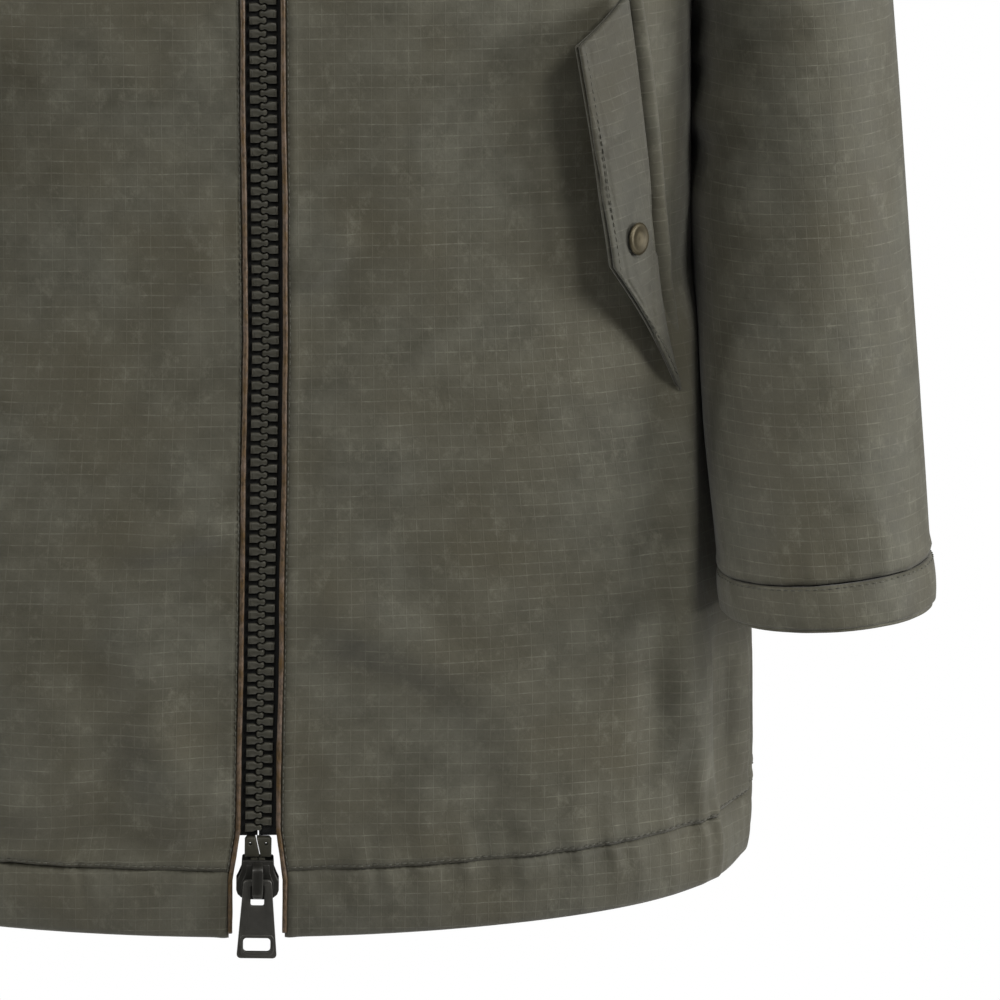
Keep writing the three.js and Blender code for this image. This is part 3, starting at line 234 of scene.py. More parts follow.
@dataclass(frozen=True)
class ZipLine:
    """The path of the front zip and the edges that stand beside it."""

    bend: float = 300.0
    lean: float = 0.0235
    low: float = 53.0
    top: float = 857.0
    pitch: float = 6.35
    chain: float = 13.0
    opening: float = 10.2
    piping_radius: float = 1.2
    tape_depth: float = 3.4
    tape: float = 0.9
    hem_extra: float = 3.6

    def x(self, z: Array | float) -> Array | float:
        """Sideways place of the centre line."""
        return -self.lean * np.maximum(self.bend - z, 0)

    def spread(self, side: Side, z: Array | float) -> Array | float:
        """How much further apart the edges stand near the hem."""
        low = np.maximum(0, 1 - z / 55)
        return side.value * self.hem_extra * np.minimum(1, low * 2.2)

    def beside(self, x: Array | float, depth: Array | float, z: Array | float) -> Array:
        """Points beside the zip: side offset, depth inward and height."""
        x, depth, z = np.broadcast_arrays(*(np.asarray(a, float) for a in (x, depth, z)))
        lean = np.where(z < FORM.chest, 0.0, FORM.front_lean)
        scale = 1 / np.hypot(1, lean)
        y = np.where(z < FORM.chest, -FORM.half_depth, FORM.front_y(z))
        return np.stack([self.x(z) + x, y + depth * scale, z - depth * lean * scale], axis=-1)

    def frame(self, z: float) -> Matrix:
        """Axes standing on the centre line at z: across, inward and up."""
        below, above = self.beside(0, 0, z - 1), self.beside(0, 0, z + 1)
        up = Vector(above - below).normalized()
        across = (Vector((1, 0, 0)) - up * up.x).normalized()
        made = Matrix((across, up.cross(across), up)).transposed().to_4x4()
        made.translation = Vector(self.beside(0, 0, z))
        return made


ZIP = ZipLine()


class Place:
    """Turns the pattern's millimetres into the frame's metres."""

    LOOP_DEPTH = 3 + 0.4 + 0.9 + 0.4 + 1.2 + 0.4 + 1.2 + 4.5
    ORIGIN = FORM.surface(0.5, 808.0) - LOOP_DEPTH * FORM.normal(
        np.array(0.5), np.array(808.0), 800.0, 880.0
    )

    @classmethod
    def row(cls, points: Array) -> Array:
        """Points in the frame's metres."""
        return (np.asarray(points, float) - cls.ORIGIN) / 1000

    @classmethod
    def matrix(cls, local: Matrix) -> Matrix:
        """A matrix from a local millimetre frame to the frame's metres."""
        shift = Matrix.Translation(Vector(-cls.ORIGIN))
        return Matrix.Scale(0.001, 4) @ shift @ local


# --------------------------------------------------------------- mesh making


@dataclass
class Cloudy:
    """Smooth seeded noise over a plane, for wrinkles no maker would draw."""

    seed: int
    cell: tuple[float, float]

    def at(self, x: Array, y: Array) -> Array:
        """Noise from -1 to 1.

        Args:
            x: first coordinate, in mm.
            y: second coordinate, in mm.

        Returns:
            One value for each point.
        """
        table = np.random.default_rng(self.seed).uniform(-1, 1, (64, 64))
        gx, gy = np.asarray(x) / self.cell[0], np.asarray(y) / self.cell[1]
        ix, iy = np.floor(gx).astype(int), np.floor(gy).astype(int)
        fx, fy = smooth(gx - ix), smooth(gy - iy)
        pick = lambda i, j: table[(ix + i) % 64, (iy + j) % 64]
        low = mix(pick(0, 0), pick(1, 0), fx)
        high = mix(pick(0, 1), pick(1, 1), fx)
        return mix(low, high, fy)


@dataclass(frozen=True)
class Fold:
    """One soft ridge (positive height) or valley along a straight run."""

    start: tuple[float, float]
    end: tuple[float, float]
    width: float
    height: float
    ease: float = 0.35

    def lift(self, x: Array, z: Array) -> Array:
        """Height of the fold at each point of the pattern's x and z."""
        ax, az = self.start
        dx, dz = self.end[0] - ax, self.end[1] - az
        length = math.hypot(dx, dz)
        along = ((x - ax) * dx + (z - az) * dz) / length**2
        off = ((x - ax) * dz - (z - az) * dx) / length
        taper = smooth(along / self.ease) * smooth((1 - along) / self.ease)
        return self.height * np.exp(-((off / self.width) ** 2)) * taper


class Maker:
    """Turns arrays of points into Blender meshes."""

    @staticmethod
    def mesh(name: str, points: Array, faces: Sequence[Sequence[int]], uv: Array | None) -> bpy.types.Object:
        """A smooth-shaded object from row-frame points.

        Args:
            name: the object's name.
            points: vertices in metres.
            faces: corner indices.
            uv: cloth coordinates in mm for each vertex, or None.

        Returns:
            The new object, linked to the scene.
        """
        mesh = bpy.data.meshes.new(name)
        mesh.from_pydata(np.asarray(points).reshape(-1, 3).tolist(), [], [list(f) for f in faces])
        mesh.polygons.foreach_set("use_smooth", [True] * len(mesh.polygons))
        if uv is not None:
            Maker.stamp(mesh, uv)
        made = bpy.data.objects.new(name, mesh)
        bpy.context.scene.collection.objects.link(made)
        return made

    @staticmethod
    def stamp(mesh: bpy.types.Mesh, uv: Array) -> None:
        """Writes cloth coordinates, given per vertex in mm, to the mesh."""
        layer = mesh.uv_layers.new(name="cloth")
        corner = np.empty(len(mesh.loops), int)
        mesh.loops.foreach_get("vertex_index", corner)
        layer.data.foreach_set("uv", (np.asarray(uv).reshape(-1, 2)[corner] / 100).ravel())

    @staticmethod
    def shell(
        name: str,
        outer: Array,
        inner: Array,
        uv: Array,
        ring: bool = False,
        keep: Array | None = None,
    ) -> bpy.types.Object:
        """A closed cloth layer between two grids of points.

        Args:
            name: the object's name.
            outer: outer grid, rows by columns by 3, in pattern mm.
            inner: inner grid of the same shape.
            uv: cloth coordinates, rows by columns by 2.
            ring: True if the columns close into a ring.
            keep: which cells are cloth, or None for all of them.

        Returns:
            The new object.
        """
        rows, cols = outer.shape[:2]
        span = cols if ring else cols - 1
        kept = np.ones((rows - 1, span), bool) if keep is None else keep
        index = np.arange(rows * cols).reshape(rows, cols)
        right = np.roll(index, -1, axis=1)
        a, b, c, d = index[:-1, :span], right[:-1, :span], right[1:, :span], index[1:, :span]
        size = rows * cols
        skin = np.stack([a, b, c, d], axis=-1)[kept]
        quads = [skin, skin[:, ::-1] + size]
        framed = np.zeros((rows + 1, span + 2), bool)
        framed[1:-1, 1:-1] = kept
        if ring:
            framed[1:-1, 0], framed[1:-1, -1] = kept[:, -1], kept[:, 0]
        sides = (
            (framed[:-2, 1:-1], a, b),
            (framed[2:, 1:-1], c, d),
            (framed[1:-1, :-2], d, a),
            (framed[1:-1, 2:], b, c),
        )
        for beside, first, last in sides:
            open_edge = kept & ~beside
            p, q = first[open_edge], last[open_edge]
            quads.append(np.stack([q, p, p + size, q + size], axis=-1))
        points = np.concatenate([outer.reshape(-1, 3), inner.reshape(-1, 3)])
        both = np.concatenate([uv.reshape(-1, 2)] * 2)
        faces = np.concatenate(quads)
        used, again = np.unique(faces, return_inverse=True)
        return Maker.mesh(name, Place.row(points[used]), again.reshape(-1, 4).tolist(), both[used])

    @staticmethod
    def tube(
        name: str,
        line: Array,
        radius: Array | float,
        sides: int = 10,
        flat: float = 1.0,
    ) -> bpy.types.Object:
        """A capped tube along a line of pattern points.

        Args:
            name: the object's name.
            line: the centre line, in mm.
            radius: radius in mm, one value or one for each point.
            sides: corners of the section.
            flat: the section's depth as a share of its width.

        Returns:
            The new object.
        """
        tangent = np.gradient(line, axis=0)
        tangent /= np.linalg.norm(tangent, axis=1, keepdims=True)
        hint = np.array([0.0, -1.0, 0.0]) + np.zeros_like(tangent)
        hint = np.where(np.abs(tangent[:, 1:2]) > 0.9, np.array([1.0, 0, 0]), hint)
        right = np.cross(tangent, hint)
        right /= np.linalg.norm(right, axis=1, keepdims=True)
        ahead = np.cross(right, tangent)
        around = np.linspace(0, 2 * np.pi, sides, endpoint=False)
        r = np.broadcast_to(radius, (len(line),))[:, None, None]
        ring = np.cos(around)[
            None,
            :,
            None,
        ] * right[:, None] + flat * np.sin(around)[None, :, None] * ahead[:, None]
        points = (line[:, None] + r * ring).reshape(-1, 3)
        faces = []
        for i in range(len(line) - 1):
            for k in range(sides):
                a, b = i * sides + k, i * sides + (k + 1) % sides
                faces.append([a, b, b + sides, a + sides])
        faces.append(list(range(sides))[::-1])
        faces.append([len(points) - sides + k for k in range(sides)])
        along = np.concatenate([[0], np.cumsum(np.linalg.norm(np.diff(line, axis=0), axis=1))])
        uv = np.stack(np.broadcast_arrays(around[None, :] * 2, along[:, None]), axis=-1)
        return Maker.mesh(name, Place.row(points), faces, uv)

    @staticmethod
    def solid(
        name: str,
        outline: Sequence[tuple[float, float]],
        near: float,
        far: float,
        bevel: float,
        holes: Sequence[Sequence[tuple[float, float]]] = (),
    ) -> bpy.types.Object:
        """A plate in local mm: an outline in x and z carried along y, edges eased.

        Args:
            name: the object's name.
            outline: corners in order.
            near: y of the front face.
            far: y of the back face.
            bevel: how far the edges are eased.
            holes: outlines cut through the plate.

        Returns:
            The new object, still in its local frame.
        """
        mesh = bpy.data.meshes.new(name)
        bm = bmesh.new()
        edges = []
        for loop in [outline, *holes]:
            ring = [bm.verts.new((x, near, z)) for x, z in loop]
            edges += [bm.edges.new((ring[i], ring[(i + 1) % len(ring)])) for i in range(len(ring))]
        bmesh.ops.triangle_fill(bm, edges=edges, use_beauty=True, use_dissolve=True, normal=(0, -1, 0))
        faces = list(bm.faces)
        grown = bmesh.ops.extrude_face_region(bm, geom=faces)
        moved = [g for g in grown["geom"] if isinstance(g, bmesh.types.BMVert)]
        bmesh.ops.translate(bm, verts=moved, vec=(0, far - near, 0))
        bmesh.ops.recalc_face_normals(bm, faces=bm.faces)
        bm.to_mesh(mesh)
        bm.free()
        made = bpy.data.objects.new(name, mesh)
        bpy.context.scene.collection.objects.link(made)
        if bevel > 0:
            soft = made.modifiers.new("eased", "BEVEL")
            soft.width, soft.segments, soft.limit_method = bevel, 3, "ANGLE"
            soft.angle_limit = math.radians(35)
            soft.use_clamp_overlap = True
        return made

    @staticmethod
    def apply(made: bpy.types.Object) -> None:
        """Bakes the object's modifiers into its mesh."""
        graph = bpy.context.evaluated_depsgraph_get()
        graph.update()
        fresh = bpy.data.meshes.new_from_object(made.evaluated_get(graph))
        made.modifiers.clear()
        old, made.data = made.data, fresh
        bpy.data.meshes.remove(old)

    @staticmethod
    def settle(made: bpy.types.Object, local: Matrix) -> bpy.types.Object:
        """Applies modifiers and moves a local-mm object into the row frame."""
        Maker.apply(made)
        made.data.transform(Place.matrix(local))
        made.data.polygons.foreach_set("use_smooth", [True] * len(made.data.polygons))
        if hasattr(made.data, "set_sharp_from_angle"):
            made.data.set_sharp_from_angle(angle=math.radians(50))
        made.data.update()
        return made

    @staticmethod
    def join(name: str, parts: Sequence[bpy.types.Object]) -> bpy.types.Object:
        """Joins objects that share a frame into one."""
        bm = bmesh.new()
        for part in parts:
            bm.from_mesh(part.data)
            mesh = part.data
            bpy.data.objects.remove(part)
            bpy.data.meshes.remove(mesh)
        mesh = bpy.data.meshes.new(name)
        bm.to_mesh(mesh)
        bm.free()
        made = bpy.data.objects.new(name, mesh)
        bpy.context.scene.collection.objects.link(made)
        return made

    @staticmethod
    def dress(made: bpy.types.Object, material: bpy.types.Material, slot: str) -> None:
        """Gives a piece its one material."""
        made.data.materials.clear()
        made.data.materials.append(material)


def lengths(points: Array) -> Array:
    """Distance along a line of points, starting at 0."""
    step = np.linalg.norm(np.diff(points, axis=0), axis=-1)
    return np.concatenate([[0], np.cumsum(step)])


def resample(points: Array, step: float) -> Array:
    """The line again with points a fixed step apart."""
    along = lengths(points)
    at = np.arange(0, along[-1], step)
    return np.stack([np.interp(at, along, points[:, k]) for k in range(points.shape[1])], axis=1)


@dataclass(frozen=True)
class StitchRow:
    """A row of lockstitches: short rounded lengths of thread on a seam."""

    length: float = 2.7
    gap: float = 1.0
    radius: float = 0.36

    def sew(self, name: str, line: Array, outward: Array) -> bpy.types.Object:
        """Lays stitches along a line.

        Args:
            name: the object's name.
            line: points on the cloth, in pattern mm.
            outward: the cloth's outward normal at each point.

        Returns:
            The new object.
        """
        both = resample(np.concatenate([line, outward], axis=1), 0.5)
        along = lengths(both[:, :3])
        starts = np.arange(0, along[-1] - self.length, self.length + self.gap)
        sides, profile = 6, [(0.0, 0.35), (0.2, 0.95), (0.5, 1.1), (0.8, 0.95), (1.0, 0.35)]
        around = np.linspace(0, 2 * np.pi, sides, endpoint=False)
        points, faces = [], []
        sample = lambda s: np.array([np.interp(s, along, both[:, k]) for k in range(6)])
        for start in starts:
            first, last = sample(start), sample(start + self.length)
            run = last[:3] - first[:3]
            run /= max(np.linalg.norm(run), 1e-6)
            up = first[3:] - run * (first[3:] @ run)
            up /= max(np.linalg.norm(up), 1e-6)
            side = np.cross(run, up)
            base = len(points)
            for t, fat in profile:
                centre = mix(first[:3], last[:3], t) + up * self.radius * (fat - 0.75)
                for a in around:
                    points.append(centre + self.radius * fat * (math.cos(a) * side + math.sin(a) * up))
            for i in range(len(profile) - 1):
                for k in range(sides):
                    a, b = base + i * sides + k, base + i * sides + (k + 1) % sides
                    faces.append([a, b, b + sides, a + sides])
            faces.append([base + k for k in range(sides)][::-1])
            faces.append([base + (len(profile) - 1) * sides + k for k in range(sides)])
        return Maker.mesh(name, Place.row(np.array(points)), faces, None)


def grid_normals(grid: Array) -> Array:
    """Unit normals of a grid of points whose rows run up and columns across."""
    n = np.cross(np.gradient(grid, axis=1), np.gradient(grid, axis=0))
    return n / np.maximum(np.linalg.norm(n, axis=-1, keepdims=True), 1e-9)


# ------------------------------------------------------------------ finishes


class Nodes:
    """A short way to lay out a material's nodes."""

    def __init__(self, name: str) -> None:
        """Starts an empty material with a shader and an output."""
        self.material = bpy.data.materials.new(name)
        self.material.use_nodes = True
        self.tree = self.material.node_tree
        self.tree.nodes.clear()
        self.out = self.tree.nodes.new("ShaderNodeOutputMaterial")
        self.shader = self.tree.nodes.new("ShaderNodeBsdfPrincipled")
        self.tree.links.new(self.shader.outputs[0], self.out.inputs[0])

    def link(self, source: object, target: object) -> None:
        """Joins an output socket to an input socket."""
        self.tree.links.new(source, target)

    def feed(self, socket: bpy.types.NodeSocket, value: object) -> None:
        """Sets a socket from another socket or from a plain value."""
        if isinstance(value, bpy.types.NodeSocket):
            self.link(value, socket)
        else:
            socket.default_value = value

    def math(self, kind: str, a: object, b: object = 0.0, c: object = 0.0) -> bpy.types.NodeSocket:
        """A Math node's output."""
        node = self.tree.nodes.new("ShaderNodeMath")
        node.operation = kind
        for socket, value in zip(node.inputs, (a, b, c)):
            self.feed(socket, value)
        return node.outputs[0]

    def cloth(self) -> bpy.types.NodeSocket:
        """The cloth coordinates, one unit to 100 mm."""
        node = self.tree.nodes.new("ShaderNodeUVMap")
        node.uv_map = "cloth"
        return node.outputs[0]

    def position(self) -> bpy.types.NodeSocket:
        """The object's own coordinates, in metres."""
        return self.tree.nodes.new("ShaderNodeTexCoord").outputs["Object"]

    def scaled(
        self,
        vector: object,
        scale: tuple[float, float, float],
        turn: float = 0.0,
    ) -> bpy.types.NodeSocket:
        """A vector scaled and turned about z."""
        node = self.tree.nodes.new("ShaderNodeMapping")
        self.feed(node.inputs["Vector"], vector)
        node.inputs["Scale"].default_value = scale
        node.inputs["Rotation"].default_value = (0, 0, turn)
        return node.outputs[0]

    def noise(
        self,
        vector: object,
        scale: float,
        detail: float = 2.0,
        rough: float = 0.5,
    ) -> bpy.types.NodeSocket:
        """A Noise texture's value."""
        node = self.tree.nodes.new("ShaderNodeTexNoise")
        self.feed(node.inputs["Vector"], vector)
        node.inputs["Scale"].default_value = scale
        node.inputs["Detail"].default_value = detail
        node.inputs["Roughness"].default_value = rough
        return node.outputs[0]

    def split(self, vector: object) -> tuple[bpy.types.NodeSocket, ...]:
        """The x, y and z of a vector."""
        node = self.tree.nodes.new("ShaderNodeSeparateXYZ")
        self.feed(node.inputs[0], vector)
        return tuple(node.outputs)

    def span(
        self,
        value: object,
        low: float,
        high: float,
        to_low: float = 0.0,
        to_high: float = 1.0,
    ) -> bpy.types.NodeSocket:
        """A value carried from one range to another, clamped."""
        node = self.tree.nodes.new("ShaderNodeMapRange")
        for socket, item in zip(node.inputs, (value, low, high, to_low, to_high)):
            self.feed(socket, item)
        return node.outputs[0]

    def blend(self, share: object, a: object, b: object, kind: str = "MIX") -> bpy.types.NodeSocket:
        """Two colours mixed."""
        node = self.tree.nodes.new("ShaderNodeMix")
        node.data_type, node.blend_type = "RGBA", kind
        self.feed(node.inputs[0], share)
        self.feed(node.inputs[6], a)
        self.feed(node.inputs[7], b)
        return node.outputs[2]

    def bump(
        self,
        height: object,
        distance: float,
        strength: float = 1.0,
        under: object = None,
    ) -> bpy.types.NodeSocket:
        """A Bump node's normal, in metres of height."""
        node = self.tree.nodes.new("ShaderNodeBump")
        node.inputs["Strength"].default_value = strength
        node.inputs["Distance"].default_value = distance
        self.feed(node.inputs["Height"], height)
        if under is not None:
            self.feed(node.inputs["Normal"], under)
        return node.outputs[0]

    def finish(
        self,
        color: object,
        roughness: object,
        normal: object = None,
        metallic: float = 0.0,
        sheen: float = 0.0,
        specular: float = 0.5,
        coat: float = 0.0,
    ) -> bpy.types.Material:
        """Wires up the shader.

        Args:
            color: base colour, a socket or RGBA.
            roughness: a socket or number.
            normal: a normal socket, or None.
            metallic: metal share.
            sheen: sheen weight.
            specular: specular level.
            coat: clear coat weight.

        Returns:
            The material.
        """
        self.feed(self.shader.inputs["Base Color"], color)
        self.feed(self.shader.inputs["Roughness"], roughness)
        if normal is not None:
            self.feed(self.shader.inputs["Normal"], normal)
        self.shader.inputs["Metallic"].default_value = metallic
        self.shader.inputs["Sheen Weight"].default_value = sheen
        self.shader.inputs["Sheen Roughness"].default_value = 0.6
        self.shader.inputs["Specular IOR Level"].default_value = specular
        self.shader.inputs["Coat Weight"].default_value = coat
        return self.material


Colour = tuple[float, float, float]


@dataclass(frozen=True)
class RipstopCloth:
    """Worn, waxy ripstop cotton: a fine grid over a cloudy olive ground."""

    name: str
    base: Colour
    warm: Colour
    pale: Colour
    grid: float = 5.9
    turn: float = 0.0

    def material(self) -> bpy.types.Material:
        """Builds the cloth's material."""
        n = Nodes(self.name)
        cloth = n.cloth()
        if self.turn:
            cloth = n.scaled(cloth, (1, 1, 1), self.turn)
        wander = n.noise(cloth, 2.2, 2.0)
        x, y, _ = n.split(cloth)
        cells = 100 / self.grid
        across = n.math("MULTIPLY", x, cells)
        up = n.math("MULTIPLY_ADD", y, cells, n.math("MULTIPLY", wander, 0.35))
        rib = lambda v, wide: n.span(n.math("PINGPONG", v, 0.5), 0.0, wide, 1.0, 0.0)
        weft, warp = rib(up, 0.075), rib(across, 0.06)
        broken = n.span(n.noise(cloth, 9.0, 3.0, 0.6), 0.36, 0.66)
        speck = n.span(n.noise(n.scaled(cloth, (1.0, 3.0, 1.0)), 42.0, 2.0, 0.7), 0.35, 0.7)
        weft_seen = n.math(
            "MULTIPLY",
            n.math("MULTIPLY", weft, broken),
            n.math("MULTIPLY_ADD", speck, 0.8, 0.25),
        )
        warp_seen = n.math("MULTIPLY", n.math("MULTIPLY", warp, broken), 0.3)
        lines = n.math("MAXIMUM", weft_seen, warp_seen)
        cloud = n.noise(cloth, 4.4, 5.0, 0.66)
        hue = n.noise(cloth, 1.6, 2.0, 0.5)
        grain = n.noise(cloth, 95.0, 2.0, 0.75)
        scuff = n.span(n.noise(n.scaled(cloth, (1.0, 0.7, 1.0), 0.6), 9.0, 8.0, 0.8), 0.53, 0.66, 0.0, 0.55)
        thread = n.noise(n.scaled(cloth, (260.0, 60.0, 1.0)), 1.0, 1.0)
        tone = n.blend(n.span(cloud, 0.33, 0.68), (*self.base, 1), (*self.pale, 1))
        tone = n.blend(n.span(hue, 0.38, 0.68, 0.0, 0.7), tone, (*self.warm, 1))
        tone = n.blend(scuff, tone, (*(min(1.0, c * 1.35) for c in self.pale), 1))
        shade = n.math("MULTIPLY_ADD", grain, 0.62, n.math("MULTIPLY_ADD", thread, 0.3, 0.55))
        toned = n.blend(1.0, tone, n.blend(shade, (0, 0, 0, 1), (1, 1, 1, 1)), "MULTIPLY")
        light = tuple(min(1.0, c * 1.75 + 0.02) for c in self.pale)
        color = n.blend(n.math("MULTIPLY", lines, 0.75), toned, (*light, 1))
        height = n.math("ADD", n.math("MULTIPLY", grain, 0.5), n.math("MAXIMUM", weft, warp))
        fine = n.bump(height, 0.00012, 0.55)
        crumple = n.noise(n.scaled(cloth, (1.0, 0.8, 1.0)), 7.5, 4.0, 0.55)
        normal = n.bump(crumple, 0.0016, 0.5, fine)
        rough = n.span(cloud, 0.3, 0.7, 0.62, 0.8)
        return n.finish(color, rough, normal, sheen=0.12, specular=0.35)


@dataclass(frozen=True)
class PlainWeave:
    """A dark plain-woven cloth, for linings, tapes and labels."""

    name: str
    base: Colour
    thread: float = 0.8
    shine: float = 0.6

    def material(self) -> bpy.types.Material:
        """Builds the weave's material."""
        n = Nodes(self.name)
        at = n.position()
        x, y, z = n.split(at)
        step = 1000 / self.thread
        over = n.math("SINE", n.math("MULTIPLY", n.math("ADD", x, y), step * 3.14))
        under = n.math("SINE", n.math("MULTIPLY", z, step * 3.14))
        woven = n.math("MULTIPLY", over, under)
        cloud = n.noise(at, 30.0, 3.0)
        shade = n.span(n.math("MULTIPLY_ADD", woven, 0.25, cloud), 0.1, 1.0, 0.55, 1.45)
        dark = tuple(c * 0.55 for c in self.base)
        color = n.blend(n.math("MULTIPLY", shade, 0.6), (*dark, 1), (*self.base, 1))
        normal = n.bump(woven, 0.0002, 0.5, n.bump(cloud, 0.0012, 0.5))
        return n.finish(
            color,
            n.span(cloud, 0.3, 0.7, self.shine, self.shine + 0.15),
            normal,
            sheen=0.08,
            specular=0.3,
        )


@dataclass(frozen=True)
class SatinPiping:
    """Brown coated cord cover with a soft, slightly rosy shine, partly painted in its colour: patches of
    painted highlight and painted shade in its wrinkles.
    """

    name: str
    base: Colour
    glow: Colour

    def material(self) -> bpy.types.Material:
        """Builds the piping's material."""
        n = Nodes(self.name)
        at = n.position()
        wrinkle = n.noise(n.scaled(at, (1.0, 1.0, 0.5)), 900.0, 3.0, 0.6)
        patch = n.noise(at, 120.0, 3.0, 0.6)
        # Painted highlight: random patches blend the brown toward a paler rosy colour.
        color = n.blend(n.span(patch, 0.4, 0.68), (*self.base, 1), (*self.glow, 1))
        # Painted shade: the colour is pulled toward near-black in the valleys of the wrinkle bump.
        dark = n.blend(n.span(wrinkle, 0.35, 0.6, 0.6, 0.0), color, (0.01, 0.008, 0.005, 1))
        normal = n.bump(wrinkle, 0.0004, 0.6)
        return n.finish(dark, n.span(patch, 0.3, 0.7, 0.32, 0.5), normal, specular=0.5)


@dataclass(frozen=True)
class Moulded:
    """Moulded resin with rubbed edges and a fine moulding grain."""

    name: str
    base: Colour
    edge: Colour
    rough: float = 0.42

    def material(self) -> bpy.types.Material:
        """Builds the resin's material."""
        n = Nodes(self.name)
        at = n.position()
        grain = n.noise(at, 2600.0, 2.0)
        patch = n.noise(at, 240.0, 3.0)
        ridge = n.tree.nodes.new("ShaderNodeNewGeometry").outputs["Pointiness"]
        rubbed = n.math("MULTIPLY", n.span(ridge, 0.52, 0.6), n.span(patch, 0.3, 0.6, 0.4, 1.0))
        color = n.blend(
            rubbed,
            n.blend(patch, (*self.base, 1), (*tuple(c * 1.25 for c in self.base), 1)),
            (*self.edge, 1),
        )
        normal = n.bump(grain, 0.00006, 0.5)
        return n.finish(color, n.span(patch, 0.3, 0.7, self.rough, self.rough + 0.14), normal, specular=0.5)


@dataclass(frozen=True)
class CoatedMetal:
    """Cast metal under a dark coat that is rubbed thin on its edges."""

    name: str
    base: Colour
    worn: Colour
    rough: float = 0.42
    metallic: float = 0.55

    def material(self) -> bpy.types.Material:
        """Builds the metal's material."""
        n = Nodes(self.name)
        at = n.position()
        grain = n.noise(at, 1800.0, 3.0, 0.6)
        patch = n.noise(at, 160.0, 3.0, 0.55)
        ridge = n.tree.nodes.new("ShaderNodeNewGeometry").outputs["Pointiness"]
        rubbed = n.math("MULTIPLY", n.span(ridge, 0.52, 0.58), n.span(patch, 0.35, 0.62, 0.25, 1.0))
        body = n.blend(n.span(patch, 0.3, 0.7), (*self.base, 1), (*tuple(c * 1.35 for c in self.base), 1))
        color = n.blend(rubbed, body, (*self.worn, 1))
        normal = n.bump(grain, 0.00008, 0.5, n.bump(patch, 0.0002, 0.3))
        rough = n.span(grain, 0.3, 0.7, self.rough - 0.06, self.rough + 0.12)
        return n.finish(color, rough, normal, metallic=self.metallic, specular=0.5)


@dataclass(frozen=True)
class Thread:
    """Twisted polyester sewing thread."""

    name: str
    base: Colour

    def material(self) -> bpy.types.Material:
        """Builds the thread's material."""
        n = Nodes(self.name)
        at = n.position()
        twist = n.noise(n.scaled(at, (1.0, 1.0, 1.0), 0.7), 1900.0, 2.0)
        patch = n.noise(at, 90.0, 2.0)
        color = n.blend(n.span(patch, 0.35, 0.65), (*self.base, 1), (*tuple(c * 1.5 for c in self.base), 1))
        return n.finish(color, 0.6, n.bump(twist, 0.0001, 0.6), sheen=0.1, specular=0.4)


@dataclass
class Wardrobe:
    """Every finish that the jacket uses, made once."""

    made: dict[str, bpy.types.Material] = field(default_factory=dict)

    def stock(self) -> None:
        """Makes the materials."""
        olive: Colour = (0.050, 0.047, 0.030)
        warm: Colour = (0.062, 0.054, 0.030)
        pale: Colour = (0.098, 0.094, 0.068)
        finishes = [
            RipstopCloth("olive_shell", olive, warm, pale),
            RipstopCloth("olive_band", tuple(c * 0.93 for c in olive), warm, tuple(c * 0.93 for c in pale)),
            RipstopCloth("olive_sleeve", olive, tuple(c * 0.96 for c in warm), pale, turn=0.03),
            # The flap's cloth: the shell's olive, warm and pale colours darkened to 0.72, painted shade for
            # the flap's shading.
            RipstopCloth(
                "olive_flap",
                *(tuple(c * 0.72 for c in tone) for tone in (olive, warm, pale)),
                turn=0.12,
            ),
            PlainWeave("lining", (0.02, 0.02, 0.015)),
            PlainWeave("tape", (0.006, 0.006, 0.005), 0.7, 0.75),
            # The piping's second colour is a painted rosy highlight.
            SatinPiping("piping", (0.095, 0.056, 0.020), (0.15, 0.105, 0.075)),
            Moulded("zip_resin", (0.030, 0.028, 0.018), (0.085, 0.080, 0.060)),
            CoatedMetal("slider_metal", (0.018, 0.017, 0.014), (0.07, 0.068, 0.06)),
            CoatedMetal("tab_metal", (0.048, 0.046, 0.040), (0.16, 0.155, 0.14), 0.4, 0.5),
            CoatedMetal("snap_metal", (0.040, 0.032, 0.016), (0.12, 0.10, 0.06), 0.42, 0.6),
            Thread("thread", (0.050, 0.048, 0.034)),
        ]
        for finish in finishes:
            self.made[finish.name] = finish.material()

    def __getitem__(self, name: str) -> bpy.types.Material:
        """The material of that name."""
        return self.made[name]


WARDROBE = Wardrobe()


# ---------------------------------------------------------------- body shell


